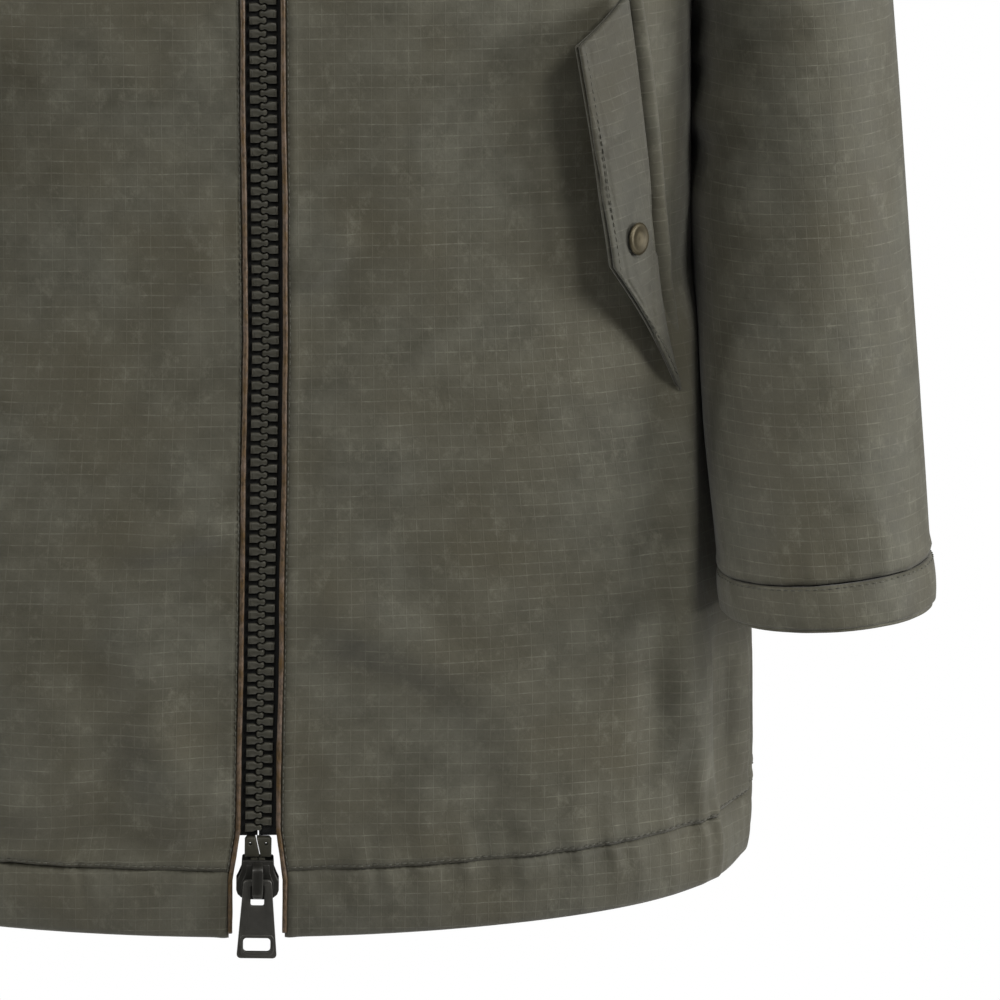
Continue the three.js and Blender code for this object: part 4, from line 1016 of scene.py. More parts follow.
@dataclass
class ShellRelief:
    """Every fold, gather and pucker pressed into the body's outer face."""

    band: float = 34.0
    folds: tuple[Fold, ...] = (
        Fold((12, 322), (50, 360), 7, 1.6),
        Fold((10, 300), (44, 330), 9, -1.2),
        Fold((11, 176), (104, 130), 15, 3.2),
        Fold((11, 140), (150, 38), 20, -3.4),
        Fold((40, 88), (172, 52), 22, 2.6),
        Fold((14, 236), (84, 250), 16, 1.2),
        Fold((60, 420), (84, 300), 16, 1.2),
        Fold((92, 210), (120, 70), 20, 1.8),
        Fold((-8, 214), (-80, 192), 10, 2.2),
        Fold((-10, 196), (-80, 170), 12, -1.6),
        Fold((-72, 190), (-40, 40), 14, 2.4),
        Fold((-100, 186), (-66, 30), 15, -2.0),
        Fold((-56, 130), (-150, 40), 22, 3.0),
        Fold((-12, 92), (-60, 40), 13, 2.0),
        Fold((-27, 380), (-27, 310), 14, 1.4),
        Fold((-46, 470), (-12, 400), 12, 1.0),
        Fold((203, 330), (203, 60), 9, 2.6, 0.15),
        Fold((192, 300), (190, 60), 8, -1.8, 0.2),
        Fold((214, 170), (212, 40), 6, 2.4),
        Fold((224, 160), (226, 36), 6, -2.2),
        Fold((235, 168), (234, 40), 6, 2.0),
        Fold((-203, 330), (-203, 60), 9, 2.6, 0.15),
        Fold((-190, 290), (-192, 60), 8, -1.8, 0.2),
        Fold((-218, 170), (-214, 40), 7, 2.4),
        Fold((-232, 150), (-230, 36), 7, -2.2),
        Fold((60, 560), (150, 520), 16, 2.0),
        Fold((-60, 560), (-150, 500), 16, 2.2),
        Fold((30, 620), (110, 700), 18, 2.0),
        Fold((-34, 640), (-120, 690), 18, 2.2),
    )

    def front(self, x: Array, z: Array) -> Array:
        """Height of the front's folds at pattern x and z."""
        total = 2.4 * sum(fold.lift(x, z) for fold in self.folds)
        soft = Cloudy(11, (70, 110)).at(x, z) * 1.3
        fine = Cloudy(12, (26, 38)).at(x + 0.4 * z, z) * 0.45
        return total + soft + fine

    def back(self, x: Array, z: Array) -> Array:
        """Height of the back's folds, seeded rather than drawn."""
        long = Cloudy(21, (46, 260)).at(x + 0.15 * z, z) * 2.6
        soft = Cloudy(22, (80, 90)).at(x, z) * 1.5
        blades = Fold((-150, 640), (-60, 470), 26, 3.0).lift(x, z)
        blades = blades + Fold((150, 640), (60, 470), 26, 3.0).lift(x, z)
        return long + soft + blades

    def gathers(self, x: Array, v: Array) -> Array:
        """Puckers along the hem band's seam, stronger toward the sides."""
        side = smooth((np.abs(x) - 176) / 40)
        wave = Cloudy(31, (5.6, 400)).at(x + 0.12 * v, v) + 0.6 * Cloudy(32, (9.5, 300)).at(x, v)
        above = np.exp(-np.maximum(v - self.band, 0) / mix(16, 48, side))
        below = np.exp(-np.maximum(self.band - v, 0) / mix(15, 30, side))
        return wave * mix(2.2, 3.8, side) * np.minimum(above, below)

    def seam(self, v: Array) -> Array:
        """The groove of the hem band's seam and the roll above and below it."""
        off = v - self.band
        groove = -2.4 * np.exp(-((off / 1.3) ** 2))
        roll = 0.9 * np.exp(-(((off - 4.5) / 4.0) ** 2))
        return groove + roll

    def band_roll(self, v: Array) -> Array:
        """The band's own padded roundness."""
        t = np.clip(v / self.band, 0, 1)
        return 2.6 * np.sin(np.pi * t) ** 0.7 - 0.6


RELIEF = ShellRelief()


def within_cloth(lift: Array, deepest: float) -> Array:
    """The relief with its valleys eased so they stay inside the cloth's thickness."""
    return np.where(lift < 0, -deepest * (1 - np.exp(np.minimum(lift, 0) / deepest)), lift)


def cells_clear(base: Array, bores: Sequence[BVHTree]) -> Array:
    """Which cells of a grid lie outside both sleeve bores."""
    middle = (base[:-1, :-1] + base[1:, 1:]) / 2
    clear = np.ones(middle.shape[:2], bool)
    near = np.nonzero((np.abs(middle[..., 0]) > 90) & (middle[..., 2] > 440))
    for r, c in zip(*near):
        clear[r, c] = not any(inside_of(tree, middle[r, c]) for tree in bores)
    return clear


def edge_dip(distance: Array, radius: float) -> Array:
    """How far a folded edge rounds back, at a distance in from the edge."""
    t = np.clip(distance / radius, 0, 1)
    return -radius * 0.8 * (1 - np.sqrt(1 - (1 - t) ** 2))


@dataclass
class BodyShell:
    """Front panels, back panel, yoke and the hem band."""

    step: float = 2.2
    thickness: float = 2.4
    deepest_valley: float = 2.3
    yoke_level: float = 705.0
    seam_u: float = 0.25
    bores: list[BVHTree] = field(default_factory=list)

    def levels(self, low: float, high: float, step: float) -> Array:
        """Evenly spaced levels."""
        return np.linspace(low, high, max(3, int((high - low) / step)))

    def front_u(self, side: Side, v: Array, columns: int) -> Array:
        """The u of each column of a front piece, from the zip to the side seam."""
        z = FORM.surface(np.zeros_like(v), v)[..., 2]
        edge = ZIP.x(z) + side.value * ZIP.opening + ZIP.spread(side, z)
        start = FORM.u_at_x(edge, v)
        t = np.linspace(0, 1, columns)
        u = mix(start[:, None], side.value * self.seam_u, t[None, :])
        return u if side is Side.LEFT else u[:, ::-1]

    def lay(self, u: Array, v: Array, lift: Array, band: bool) -> tuple[Array, Array, Array]:
        """Outer and inner grids and cloth coordinates for a patch.

        Args:
            u: turns for each row and column.
            v: level of each row.
            lift: how far the outer face stands off the form.
            band: not used.

        Returns:
            Outer grid, inner grid and cloth coordinates.
        """
        vv = np.broadcast_to(v[:, None], u.shape)
        high = FORM.neck if v.max() <= FORM.neck else 880.0
        low = FORM.neck if v.min() >= FORM.neck else 0.0
        base, out = FORM.surface(u, vv), FORM.normal(u, vv, low, high)
        outer = base + out * lift[..., None]
        inner = base - out * (self.thickness + 0.2)
        row = base[len(base) // 2]
        along = lengths(row)
        uv = np.stack(np.broadcast_arrays(along[None, :], base[..., 2]), axis=-1)
        return outer, inner, uv

    def patch(
        self,
        name: str,
        side: Side | None,
        low: float,
        high: float,
        columns: int,
        band: bool = False,
    ) -> tuple[bpy.types.Object, Array]:
        """One panel with its relief.

        Args:
            name: the piece's name.
            side: which front, or None for the back.
            low: lowest level.
            high: highest level.
            columns: columns of the grid.
            band: True for a hem band.

        Returns:
            The object and its outer grid.
        """
        v = self.levels(low, high, self.step if not band else 1.0)
        if side is None:
            u = np.broadcast_to(np.linspace(0.25, 0.75, columns), (len(v), columns))
        else:
            u = self.front_u(side, v, columns)
        vv = np.broadcast_to(v[:, None], u.shape)
        base = FORM.surface(u, vv)
        x, z = base[..., 0], base[..., 2]
        lift = RELIEF.back(x, z) if side is None else RELIEF.front(x, z)
        round_x = np.where(
            np.abs(base[..., 1]) < 90,
            base[..., 0] + np.sign(x) * (90 - np.abs(base[..., 1])) * 0.6,
            x,
        )
        lift = lift * 0.55 if band else lift
        lift = lift + RELIEF.gathers(round_x if side is not None else x + 0.5 * base[..., 1], vv)
        near_hem = np.exp(-np.maximum(vv - RELIEF.band, 0) / 60)
        lift = mix(lift, lift * 0.8, near_hem)
        lift = lift + (RELIEF.band_roll(vv) if band else 0) + RELIEF.seam(vv)
        if band:
            lift = lift + edge_dip(vv, 3.2)
        if side is not None:
            z0 = FORM.surface(np.zeros_like(v), v)[..., 2]
            edge = ZIP.x(z0) + side.value * ZIP.opening + ZIP.spread(side, z0)
            off = np.abs(x - edge[:, None])
            calm = smooth(off / 12)
            pucker = Cloudy(41 + side.value, (60, 5.5)).at(x, z) * 0.5 * np.exp(-off / 7)
            rolled = 0.9 * np.exp(-(((off - 3.6) / 2.4) ** 2))
            lift = lift * mix(0.35, 1.0, calm) + pucker + rolled + edge_dip(off, 1.6)
        else:
            off = np.minimum(np.abs(u - 0.25), np.abs(u - 0.75)) * 1100
        lift = lift - 1.0 * np.exp(-((np.abs(np.abs(u) - 0.25) * 1100 / 1.6) ** 2)) * (side is not None)
        outer, inner, uv = self.lay(u, v, within_cloth(lift, self.deepest_valley), band)
        if band:
            inner = self.hem_turn(outer, inner, vv)
        return Maker.shell(name, outer, inner, uv, keep=cells_clear(base, self.bores)), outer

    def hem_turn(self, outer: Array, inner: Array, v: Array) -> Array:
        """Lowers the inner face's edge so that the band's fold is round."""
        turned = inner.copy()
        turned[..., 2] += 1.4 * np.exp(-v / 1.5)
        return turned

    def build(self) -> None:
        """Builds and dresses the shell and its seams."""
        band_top = RELIEF.band
        for side in Side:
            front, grid = self.patch(f"front_cloth_{side.tag}", side, band_top + 0.1, FORM.neck - 0.5, 128)
            Maker.dress(front, WARDROBE["olive_shell"], "olive_shell")
            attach(front, "jacket_body")
            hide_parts(f"front_panel_{side.tag}", f"front_yoke_{side.tag}")
            band, _ = self.patch(f"hem_cloth_{side.tag}", side, 0.0, band_top, 190, True)
            Maker.dress(band, WARDROBE["olive_band"], "olive_band")
            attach(band, "jacket_body")
            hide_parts(f"hem_band_{side.tag}")
            self.topstitch(f"hem_stitch_{side.tag}", grid, 1)
            self.edge_stitch(side, grid)
            LOG.info("front %s: panel, band and stitching", side.tag)
        back, grid = self.patch("back_cloth", None, band_top + 0.1, self.yoke_level, 200)
        Maker.dress(back, WARDROBE["olive_shell"], "olive_shell")
        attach(back, "jacket_body")
        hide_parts("back_panel_left", "back_panel_right")
        self.topstitch("hem_stitch_back", grid, 1)
        self.topstitch("yoke_stitch", grid, len(grid) - 3)
        band, _ = self.patch("hem_cloth_back", None, 0.0, band_top, 280, True)
        Maker.dress(band, WARDROBE["olive_band"], "olive_band")
        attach(band, "jacket_body")
        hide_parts("hem_band_back")
        yoke, grid = self.patch("yoke_cloth", None, self.yoke_level + 0.2, FORM.neck - 0.5, 200)
        Maker.dress(yoke, WARDROBE["olive_shell"], "olive_shell")
        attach(yoke, "jacket_body")
        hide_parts("back_yoke")
        LOG.info("back: panel, yoke and band")

    def topstitch(self, name: str, grid: Array, row: int) -> None:
        """Sews along one row of a panel's grid."""
        out = grid_normals(grid)
        line = grid[row] + out[row] * 0.1
        sewn = StitchRow().sew(name, line, out[row])
        Maker.dress(sewn, WARDROBE["thread"], "olive_shell")
        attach(sewn, "jacket_body")

    def edge_stitch(self, side: Side, grid: Array) -> None:
        """Sews up the front edge, just outside the piping."""
        out = grid_normals(grid)
        v = self.levels(RELIEF.band + 0.1, FORM.neck - 0.5, self.step)
        z0 = FORM.surface(np.zeros_like(v), v)[..., 2]
        edge = ZIP.x(z0) + side.value * (ZIP.opening + 1.7) + ZIP.spread(side, z0)
        column = np.argmin(np.abs(grid[..., 0] - edge[:, None]), axis=1)
        rows = np.arange(len(grid))
        frac_line, frac_out = grid[rows, column].copy(), out[rows, column]
        frac_line[:, 0] = edge
        sewn = StitchRow(2.4, 1.1, 0.28).sew(f"front_stitch_{side.tag}", frac_line, frac_out)
        Maker.dress(sewn, WARDROBE["thread"], "olive_shell")
        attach(sewn, "jacket_body")


@dataclass
class Collar:
    """The stand collar: a padded outer layer and a smooth inner one."""

    low: float = 800.5
    high: float = 880.0
    columns: int = 220
    inner_depth: float = 4.7
    inner_thickness: float = 1.2

    def columns_u(self, v: Array, distance: float) -> Array:
        """The u of each column, from one side of the zip round the back."""
        start = FORM.u_at_x(np.full_like(v, distance), v)
        return mix(start[:, None], 1 - start[:, None], np.linspace(0, 1, self.columns)[None, :])

    def layer(
        self,
        name: str,
        distance: float,
        high: float,
        depth: float,
        lift: Callable[[Array, Array], Array],
        thickness: float,
    ) -> tuple[bpy.types.Object, Array]:
        """One layer of the collar.

        Args:
            name: the piece's name.
            distance: how far from the zip's centre it starts.
            high: its top level.
            depth: depth of its outer face.
            lift: relief as a function of u and v.
            thickness: its thickness.

        Returns:
            The object and its outer grid.
        """
        v = np.linspace(self.low, high, 44)
        u = self.columns_u(v, distance)
        vv = np.broadcast_to(v[:, None], u.shape)
        base, out = FORM.surface(u, vv), FORM.normal(u, vv, FORM.neck, 880.0)
        raised = lift(u, vv)
        outer = base + out * (raised - depth)[..., None]
        inner = base - out * (depth + thickness)
        along = lengths(base[22])
        uv = np.stack(np.broadcast_arrays(along[None, :], base[..., 2]), axis=-1)
        return Maker.shell(name, outer, inner, uv), outer

    def relief(self, u: Array, v: Array) -> Array:
        """Padding, a neck seam, a rolled rim and soft dents."""
        t = (v - self.low) / (self.high - self.low)
        padded = 1.6 * np.sin(np.pi * np.clip(t, 0, 1)) ** 0.6
        soft = Cloudy(51, (36, 46)).at(u * 560, v) * 0.9
        rim = edge_dip(self.high - v, 2.6)
        stitched = -0.5 * np.exp(-(((self.high - v - 7) / 1.0) ** 2))
        seam = -1.2 * np.exp(-(((v - self.low) / 1.4) ** 2))
        ends = edge_dip(np.minimum(u, 1 - u) * 560 - np.min(u) * 560, 2.0)
        return padded + soft * np.sin(np.pi * np.clip(t, 0, 1)) + rim + stitched + seam + ends

    def build(self) -> None:
        """Builds and dresses both layers and the stitching."""
        outer, grid = self.layer("collar_cloth", ZIP.opening, self.high, 0.0, self.relief, 3.0)
        Maker.dress(outer, WARDROBE["olive_shell"], "olive_shell")
        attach(outer, "jacket_body")
        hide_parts("collar_outer")
        soft = lambda u, v: Cloudy(52, (30, 40)).at(u * 560, v) * 0.35
        inner, _ = self.layer(
            "collar_inner_cloth",
            11.4,
            self.high - 2,
            self.inner_depth,
            soft,
            self.inner_thickness,
        )
        Maker.dress(inner, WARDROBE["olive_band"], "olive_band")
        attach(inner, "jacket_body")
        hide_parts("collar_inner")
        out = grid_normals(grid)
        for name, row in (("collar_rim_stitch", -5), ("collar_foot_stitch", 2)):
            sewn = StitchRow().sew(name, grid[row] + out[row] * 0.1, out[row])
            Maker.dress(sewn, WARDROBE["thread"], "olive_shell")
            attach(sewn, "jacket_body")
        LOG.info("collar: outer, inner and stitching")


@dataclass
class Inside:
    """Facings beside the zip and the front and back linings."""

    facing_depth: float = 4.7
    facing_thickness: float = 1.2
    lining_depth: float = 8.5
    facing_edge: float = 11.4
    facing_width: float = 46.0
    bores: list[BVHTree] = field(default_factory=list)

    def sheet(self, name: str, u: Array, v: Array, depth: float, wave: float, seed: int) -> bpy.types.Object:
        """One thin layer inside the shell, gently creased.

        Args:
            name: the piece's name.
            u: turns, rows by columns.
            v: the level of each row.
            depth: depth of its outer face.
            wave: how deep its creases are.
            seed: seed of its creases.

        Returns:
            The object.
        """
        vv = np.broadcast_to(v[:, None], u.shape)
        base, out = FORM.surface(u, vv), FORM.normal(u, vv, 0.0, 880.0)
        crease = (Cloudy(seed, (40, 150)).at(u * 1200, vv) + 1) * wave
        outer = base - out * (depth + crease)[..., None]
        inner = outer - out * self.facing_thickness
        along = lengths(base[len(v) // 2])
        uv = np.stack(np.broadcast_arrays(along[None, :], base[..., 2]), axis=-1)
        return Maker.shell(name, outer, inner, uv, keep=cells_clear(base, self.bores))

    def edge_u(self, side: Side, v: Array, distance: float) -> Array:
        """The u at a distance beside the zip for each level."""
        z = FORM.surface(np.zeros_like(v), v)[..., 2]
        return FORM.u_at_x(ZIP.x(z) + side.value * distance + ZIP.spread(side, z), v)

    def span(self, first: Array, last: Array, columns: int) -> Array:
        """Columns between two edges, running toward greater u."""
        low, high = np.minimum(first, last), np.maximum(first, last)
        return mix(low[:, None], high[:, None], np.linspace(0, 1, columns)[None, :])

    def finish(self, made: bpy.types.Object, finish: str, node: str) -> None:
        Maker.dress(made, WARDROBE[finish], finish)
        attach(made, "jacket_body")
        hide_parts(node)

    def build(self) -> None:
        """Builds every inner layer."""
        v = np.linspace(2, FORM.neck - 7, 180)
        low = np.linspace(6, FORM.neck - 17, 150)
        for side in Side:
            near = self.edge_u(side, v, self.facing_edge)
            far = self.edge_u(side, v, self.facing_edge + self.facing_width)
            made = self.sheet(
                f"facing_cloth_{side.tag}",
                self.span(near, far, 24),
                v,
                self.facing_depth,
                0.1,
                61,
            )
            self.finish(made, "olive_band", f"front_facing_{side.tag}")
            near = self.edge_u(side, low, self.facing_edge + self.facing_width + 1)
            u = self.span(near, np.full_like(near, side.value * 0.2496), 70)
            made = self.sheet(f"lining_cloth_{side.tag}", u, low, self.lining_depth, 0.9, 62)
            self.finish(made, "lining", f"front_lining_{side.tag}")
        u = np.broadcast_to(np.linspace(0.2504, 0.7496, 150), (len(low), 150))
        made = self.sheet("lining_cloth_back", u, low, self.lining_depth, 1.2, 63)
        self.finish(made, "lining", "back_lining")
        LOG.info("inside: facings and linings")


# ------------------------------------------------------------------- the zip


@dataclass
class Chain:
    """Both tooth rows with their tapes, pins, stops and piped edges."""

    reach: float = 1.7
    thickness: float = 4.0
    stop_length: float = 6.0
    pin_length: float = 10.0
    tape_outer: float = 19.0

    @property
    def front(self) -> float:
        """Depth of the teeth's front faces."""
        return ZIP.tape_depth + ZIP.tape / 2 - self.thickness / 2

    def tooth_outline(self) -> list[tuple[float, float]]:
        """Half a tooth pair's outline: a broad body, a waist and a round head."""
        half = ZIP.chain / 2
        body = [(half, -1.95), (2.5, -1.95), (1.75, -1.45), (0.75, -1.0)]
        head = [(0.1, -1.25), (-0.75, -1.5), (-1.4, -1.15), (-self.reach, -0.45)]
        low = body + head
        return low + [(x, -z) for x, z in reversed(low)]

    def tooth(self) -> tuple[Array, list[list[int]]]:
        """One tooth as points (x, depth, z) and faces, crowned at its front."""
        outline = np.array(self.tooth_outline())
        centre = np.array([2.6, 0.0])
        layers = [(0.72, -0.55), (0.86, -0.42), (0.96, -0.12), (1.0, 0.35), (1.0, 3.6), (0.93, 4.0)]
        points, faces, n = [], [], len(outline)
        for share, depth in layers:
            inset = centre + (outline - centre) * np.array([1 - (1 - share) * 0.55, share])
            points += [(x, depth, z) for x, z in inset]
        for k in range(len(layers) - 1):
            for i in range(n):
                a, b = k * n + i, k * n + (i + 1) % n
                faces.append([a, b, b + n, a + n])
        faces.append(list(range(n))[::-1])
        faces.append([(len(layers) - 1) * n + i for i in range(n)])
        return np.array(points), faces

    def row(self, side: Side, top: float) -> bpy.types.Object:
        """A whole tooth row with its cord spine."""
        points, faces = self.tooth()
        start = ZIP.low + (ZIP.pitch / 2 if side is Side.LEFT else 0)
        count = int((top - start) / ZIP.pitch)
        every, made = [], []
        for i in range(count):
            z = start + (i + 0.5) * ZIP.pitch
            placed = ZIP.beside(side.value * points[:, 0], self.front + points[:, 1], z + points[:, 2])
            base = len(every) * len(points)
            every.append(placed)
            turn = (lambda f: f) if side is Side.LEFT else (lambda f: f[::-1])
            made += [turn([k + base for k in face]) for face in faces]
        return Maker.mesh(f"teeth_{side.tag}", Place.row(np.concatenate(every)), made, None)

    def stem_marks(self, side: Side, top: float) -> bpy.types.Object:
        """The raised rim on the outer half of each tooth."""
        start = ZIP.low + (ZIP.pitch / 2 if side is Side.LEFT else 0)
        parts = []
        for i in range(int((top - start) / ZIP.pitch)):
            z = start + (i + 0.5) * ZIP.pitch
            x = side.value * 5.3
            line = ZIP.beside(np.full(5, x), self.front - 0.42, z + np.linspace(-1.25, 1.25, 5))
            parts.append(Maker.tube(f"rim_{i}", line, 0.3, 6))
        return Maker.join(f"tooth_rims_{side.tag}", parts)

    def strip(
        self,
        name: str,
        side: Side,
        near: float,
        far: float,
        depth: float,
        low: float,
        high: float,
        thick: float,
    ) -> bpy.types.Object:
        """A flat woven strip beside the chain."""
        z = np.linspace(low, high, 300)
        x = np.linspace(near, far, 12) * side.value
        x = x if side is Side.LEFT else x[::-1]
        ripple = Cloudy(71 + side.value, (30, 24)).at(x[None, :], z[:, None]) * 0.15
        outer = ZIP.beside(x[None, :], depth + ripple, z[:, None])
        inner = ZIP.beside(x[None, :], depth + ripple + thick, z[:, None])
        uv = np.stack(np.broadcast_arrays(x[None, :], z[:, None]), axis=-1)
        return Maker.shell(name, outer, inner, uv)

    def pin(self, side: Side) -> bpy.types.Object:
        """A bottom pin: a split block above the slider and a tail inside it."""
        top = ZIP.low - 1.5
        z0 = top - self.pin_length / 2
        s = side.value
        low = -self.pin_length / 2
        cut = 1.1 * s
        head = [(0.25 + cut, low), (6.4, low), (6.6, low + 1), (6.6, 3.4), (5.6, 4.9), (0.25 - cut, 4.9)]
        dot = [
            (
                3.9 + 0.75 * math.cos(a),
                1.6 + 0.75 * math.sin(a),
            ) for a in np.linspace(0, 2 * np.pi, 13)[:-1]
        ]
        flip = lambda outline: [(s * x, z) for x, z in outline]
        block = Maker.solid(
            f"pin_head_{side.tag}",
            flip(head),
            self.front - 0.9,
            self.front + self.thickness,
            0.45,
            [flip(dot)],
        )
        tail = [(0.25, low - 12), (3.6, low - 12), (3.6, low), (0.25, low)]
        stem = Maker.solid(f"pin_stem_{side.tag}", flip(tail), self.front, self.front + self.thickness, 0.3)
        frame = ZIP.frame(z0)
        for part in (block, stem):
            Maker.settle(part, frame)
        return Maker.join(f"bottom_pin_body_{side.tag}", [block, stem])

    def stop(self, side: Side) -> bpy.types.Object:
        """A top stop, a rounded block clamped on the tape."""
        z0 = ZIP.top - self.stop_length / 2
        outline = [(2.2, -3), (6.5, -3), (6.5, 2.0), (5.9, 2.5), (2.8, 2.5), (2.2, 2.0)]
        made = Maker.solid(
            f"top_stop_body_{side.tag}",
            [(side.value * x, z) for x, z in outline],
            self.front,
            self.front + self.thickness,
            0.6,
        )
        return Maker.settle(made, ZIP.frame(z0))

    def cord_edge(self, side: Side) -> bpy.types.Object:
        """The piped edge, a covered cord that wanders a little."""
        z = np.linspace(3, ZIP.top + 4, 700)
        wander = Cloudy(81 + side.value, (40, 46)).at(z * 0, z) * 0.28
        spread = ZIP.spread(side, z)
        x = side.value * (ZIP.opening - ZIP.piping_radius + 0.7) + spread + wander
        line = ZIP.beside(x, -0.25 + Cloudy(83, (40, 30)).at(z * 0, z) * 0.2, z)
        radius = ZIP.piping_radius * (1.0 + 0.1 * Cloudy(84 + side.value, (9, 7)).at(z * 0, z))
        return Maker.tube(f"piping_cord_{side.tag}", line, radius, 14)

    def build(self) -> None:
        """Builds and dresses the chain."""
        top = ZIP.top - self.stop_length - 10 - 0.8 + 2
        for side in Side:
            tag = side.tag
            dressed = [
                (self.row(side, top), "zip_resin", "zip_resin", f"tooth_row_{tag}"),
                (self.stem_marks(side, top), "zip_resin", "zip_resin", None),
                (
                    self.strip(
                        f"tape_cloth_{tag}",
                        side,
                        0.3,
                        self.tape_outer,
                        ZIP.tape_depth,
                        ZIP.low - 1,
                        ZIP.top,
                        ZIP.tape,
                    ),
                    "tape",
                    "tape",
                    f"zip_tape_{tag}",
                ),
                (self.pin(side), "zip_resin", "zip_resin", f"bottom_pin_{tag}"),
                (self.stop(side), "zip_resin", "zip_resin", f"top_stop_{tag}"),
                (self.cord_edge(side), "piping", "piping", f"piping_{tag}"),
            ]
            for made, finish, slot, node in dressed:
                Maker.dress(made, WARDROBE[finish], slot)
                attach(made, "jacket_body")
                if node:
                    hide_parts(node)
            LOG.info("zip %s: teeth, tape, pin, stop and piping", tag)


@dataclass
class Slider:
    """A slider with its arched crown and its pull tab."""

    name: str
    centre: float
    turned: bool
    half_length: float = 10.0
    half_width: float = 10.5
    half_neck: float = 7.75
    proud: float = 3.6
    plate: float = 2.0
    crown_width: float = 5.5
    crown_length: float = 19.5
    crown_rise: float = 5.6
    tab_length: float = 40.0
    tab_top: float = 14.0
    tab_foot: float = 19.6
    tab_thickness: float = 2.4
    bar: float = 2.6

    @property
    def local(self) -> Matrix:
        """The slider's own axes on the zip."""
        return ZIP.frame(self.centre)

    def outline(self) -> list[tuple[float, float]]:
        """Rounded plate outline, narrow at the closed end."""
        h, w, n = self.half_length, self.half_width, self.half_neck
        right = [
            (n - 0.6, h),
            (n, h - 0.7),
            (n + 0.3, h * 0.45),
            (n + 1.6, h * 0.12),
            (w, -h * 0.12),
            (w, -h * 0.52),
            (w * 0.93, -h * 0.74),
            (w * 0.76, -h * 0.9),
            (w * 0.4, -h),
        ]
        return right + [(-x, z) for x, z in reversed(right)]

    def body(self) -> bpy.types.Object:
        """Both plates, their side flanges and the wedge."""
        front = Chain().front
        back = front + Chain().thickness
        rear = back + 0.35
        name = f"{self.name}_slider"
        h = self.half_length
        cover = Maker.solid(f"{name}_cover", self.outline(), -self.proud, -self.proud + self.plate, 0.8)
        small = [(x * 0.74, z * 0.8) for x, z in self.outline()]
        raised = Maker.solid(f"{name}_raised", small, -self.proud - 0.35, -self.proud + 0.4, 0.3)
        wedge = Maker.solid(
            f"{name}_wedge",
            [(-2.4, -h * 0.8), (2.4, -h * 0.8), (0.9, -h * 0.28), (-0.9, -h * 0.28)],
            -self.proud + 1,
            rear + 1,
            0.3,
        )
        under = Maker.solid(f"{name}_under", self.outline(), rear, rear + self.plate, 0.6)
        parts = [cover, raised, wedge, under]
        for s in (-1, 1):
            rim = [
                (s * (self.half_width - 1.4), -h * 0.55),
                (s * self.half_width, -h * 0.5),
                (s * self.half_width, -h * 0.1),
                (s * self.half_neck, h * 0.5),
                (s * (self.half_neck - 1.2), h * 0.5),
                (s * (self.half_width - 1.6), -h * 0.1),
            ]
            parts.append(Maker.solid(f"{name}_flange_{s}", rim, -self.proud + 1.2, -0.7, 0.3))
        local = self.local @ Matrix.Rotation(math.pi, 4, "Y") if self.turned else self.local
        for part in parts:
            Maker.settle(part, local)
        return Maker.join(f"{name}_shape", parts)

    def crown(self) -> bpy.types.Object:
        """The arch that holds the tab's bar, swept as a flat rounded band."""
        half, foot = self.crown_length / 2 - 1, -self.proud - 0.4
        top = foot - self.crown_rise + 1.0
        t = np.linspace(0, 1, 41)
        z = -half + 2 * half * t
        rise = np.clip(np.minimum(t, 1 - t) / 0.17, 0, 1)
        y = foot - 0.1 + (top - foot + 0.1) * np.sin(rise * np.pi / 2) ** 0.9
        points, faces, n = [], [], 12
        centre = np.stack([z * 0, y, z], axis=1)
        along = np.gradient(centre, axis=0)
        along /= np.linalg.norm(along, axis=1, keepdims=True)
        out = np.cross(along, [1.0, 0, 0])
        angle = np.linspace(0, 2 * np.pi, n, endpoint=False)
        width = self.crown_width / 2 * (1 - 0.18 * np.abs(2 * t - 1) ** 4)
        for i in range(len(t)):
            for a in angle:
                c, s = math.cos(a), math.sin(a)
                across = math.copysign(abs(c) ** 0.5, c) * width[i]
                deep = math.copysign(abs(s) ** 0.6, s) * 0.95
                points.append(centre[i] + np.array([across, 0, 0]) + out[i] * deep)
        for i in range(len(t) - 1):
            for k in range(n):
                a, b = i * n + k, i * n + (k + 1) % n
                faces.append([a, b, b + n, a + n])
        faces.append(list(range(n))[::-1])
        faces.append([len(points) - n + k for k in range(n)])
        made = Maker.mesh(f"{self.name}_crown_shape", np.array(points), faces, None)
        made.data.transform(Place.matrix(self.local))
        return made

    def tab(self) -> bpy.types.Object:
        """The pull tab: a tapered plate with a bar slot and a finger hole."""
        top, foot = self.bar / 2, self.bar / 2 - self.tab_length
        a, b, r = self.tab_top / 2, self.tab_foot / 2, 1.9
        corner = lambda x, z, sx, sz: [
            (
                x - sx * r + sx * r * math.sin(t),
                z - sz * r + sz * r * math.cos(t),
            ) for t in np.linspace(0, np.pi / 2, 5)
        ]
        right = corner(a, top, 1, 1) + corner(b, foot, 1, -1)[::-1]
        outline = right + [(-x, z) for x, z in reversed(right)]

        def rounded(half: float, low: float, high: float, r: float) -> list[tuple[float, float]]:
            """A rounded rectangle about the tab's middle line."""
            made = []
            for cx, cz, start in (
                (half - r, low + r, -90),
                (half - r, high - r, 0),
                (-half + r, high - r, 90),
                (-half + r, low + r, 180),
            ):
                for k in range(5):
                    t = math.radians(start + 22.5 * k)
                    made.append((cx + r * math.cos(t), cz + r * math.sin(t)))
            return made

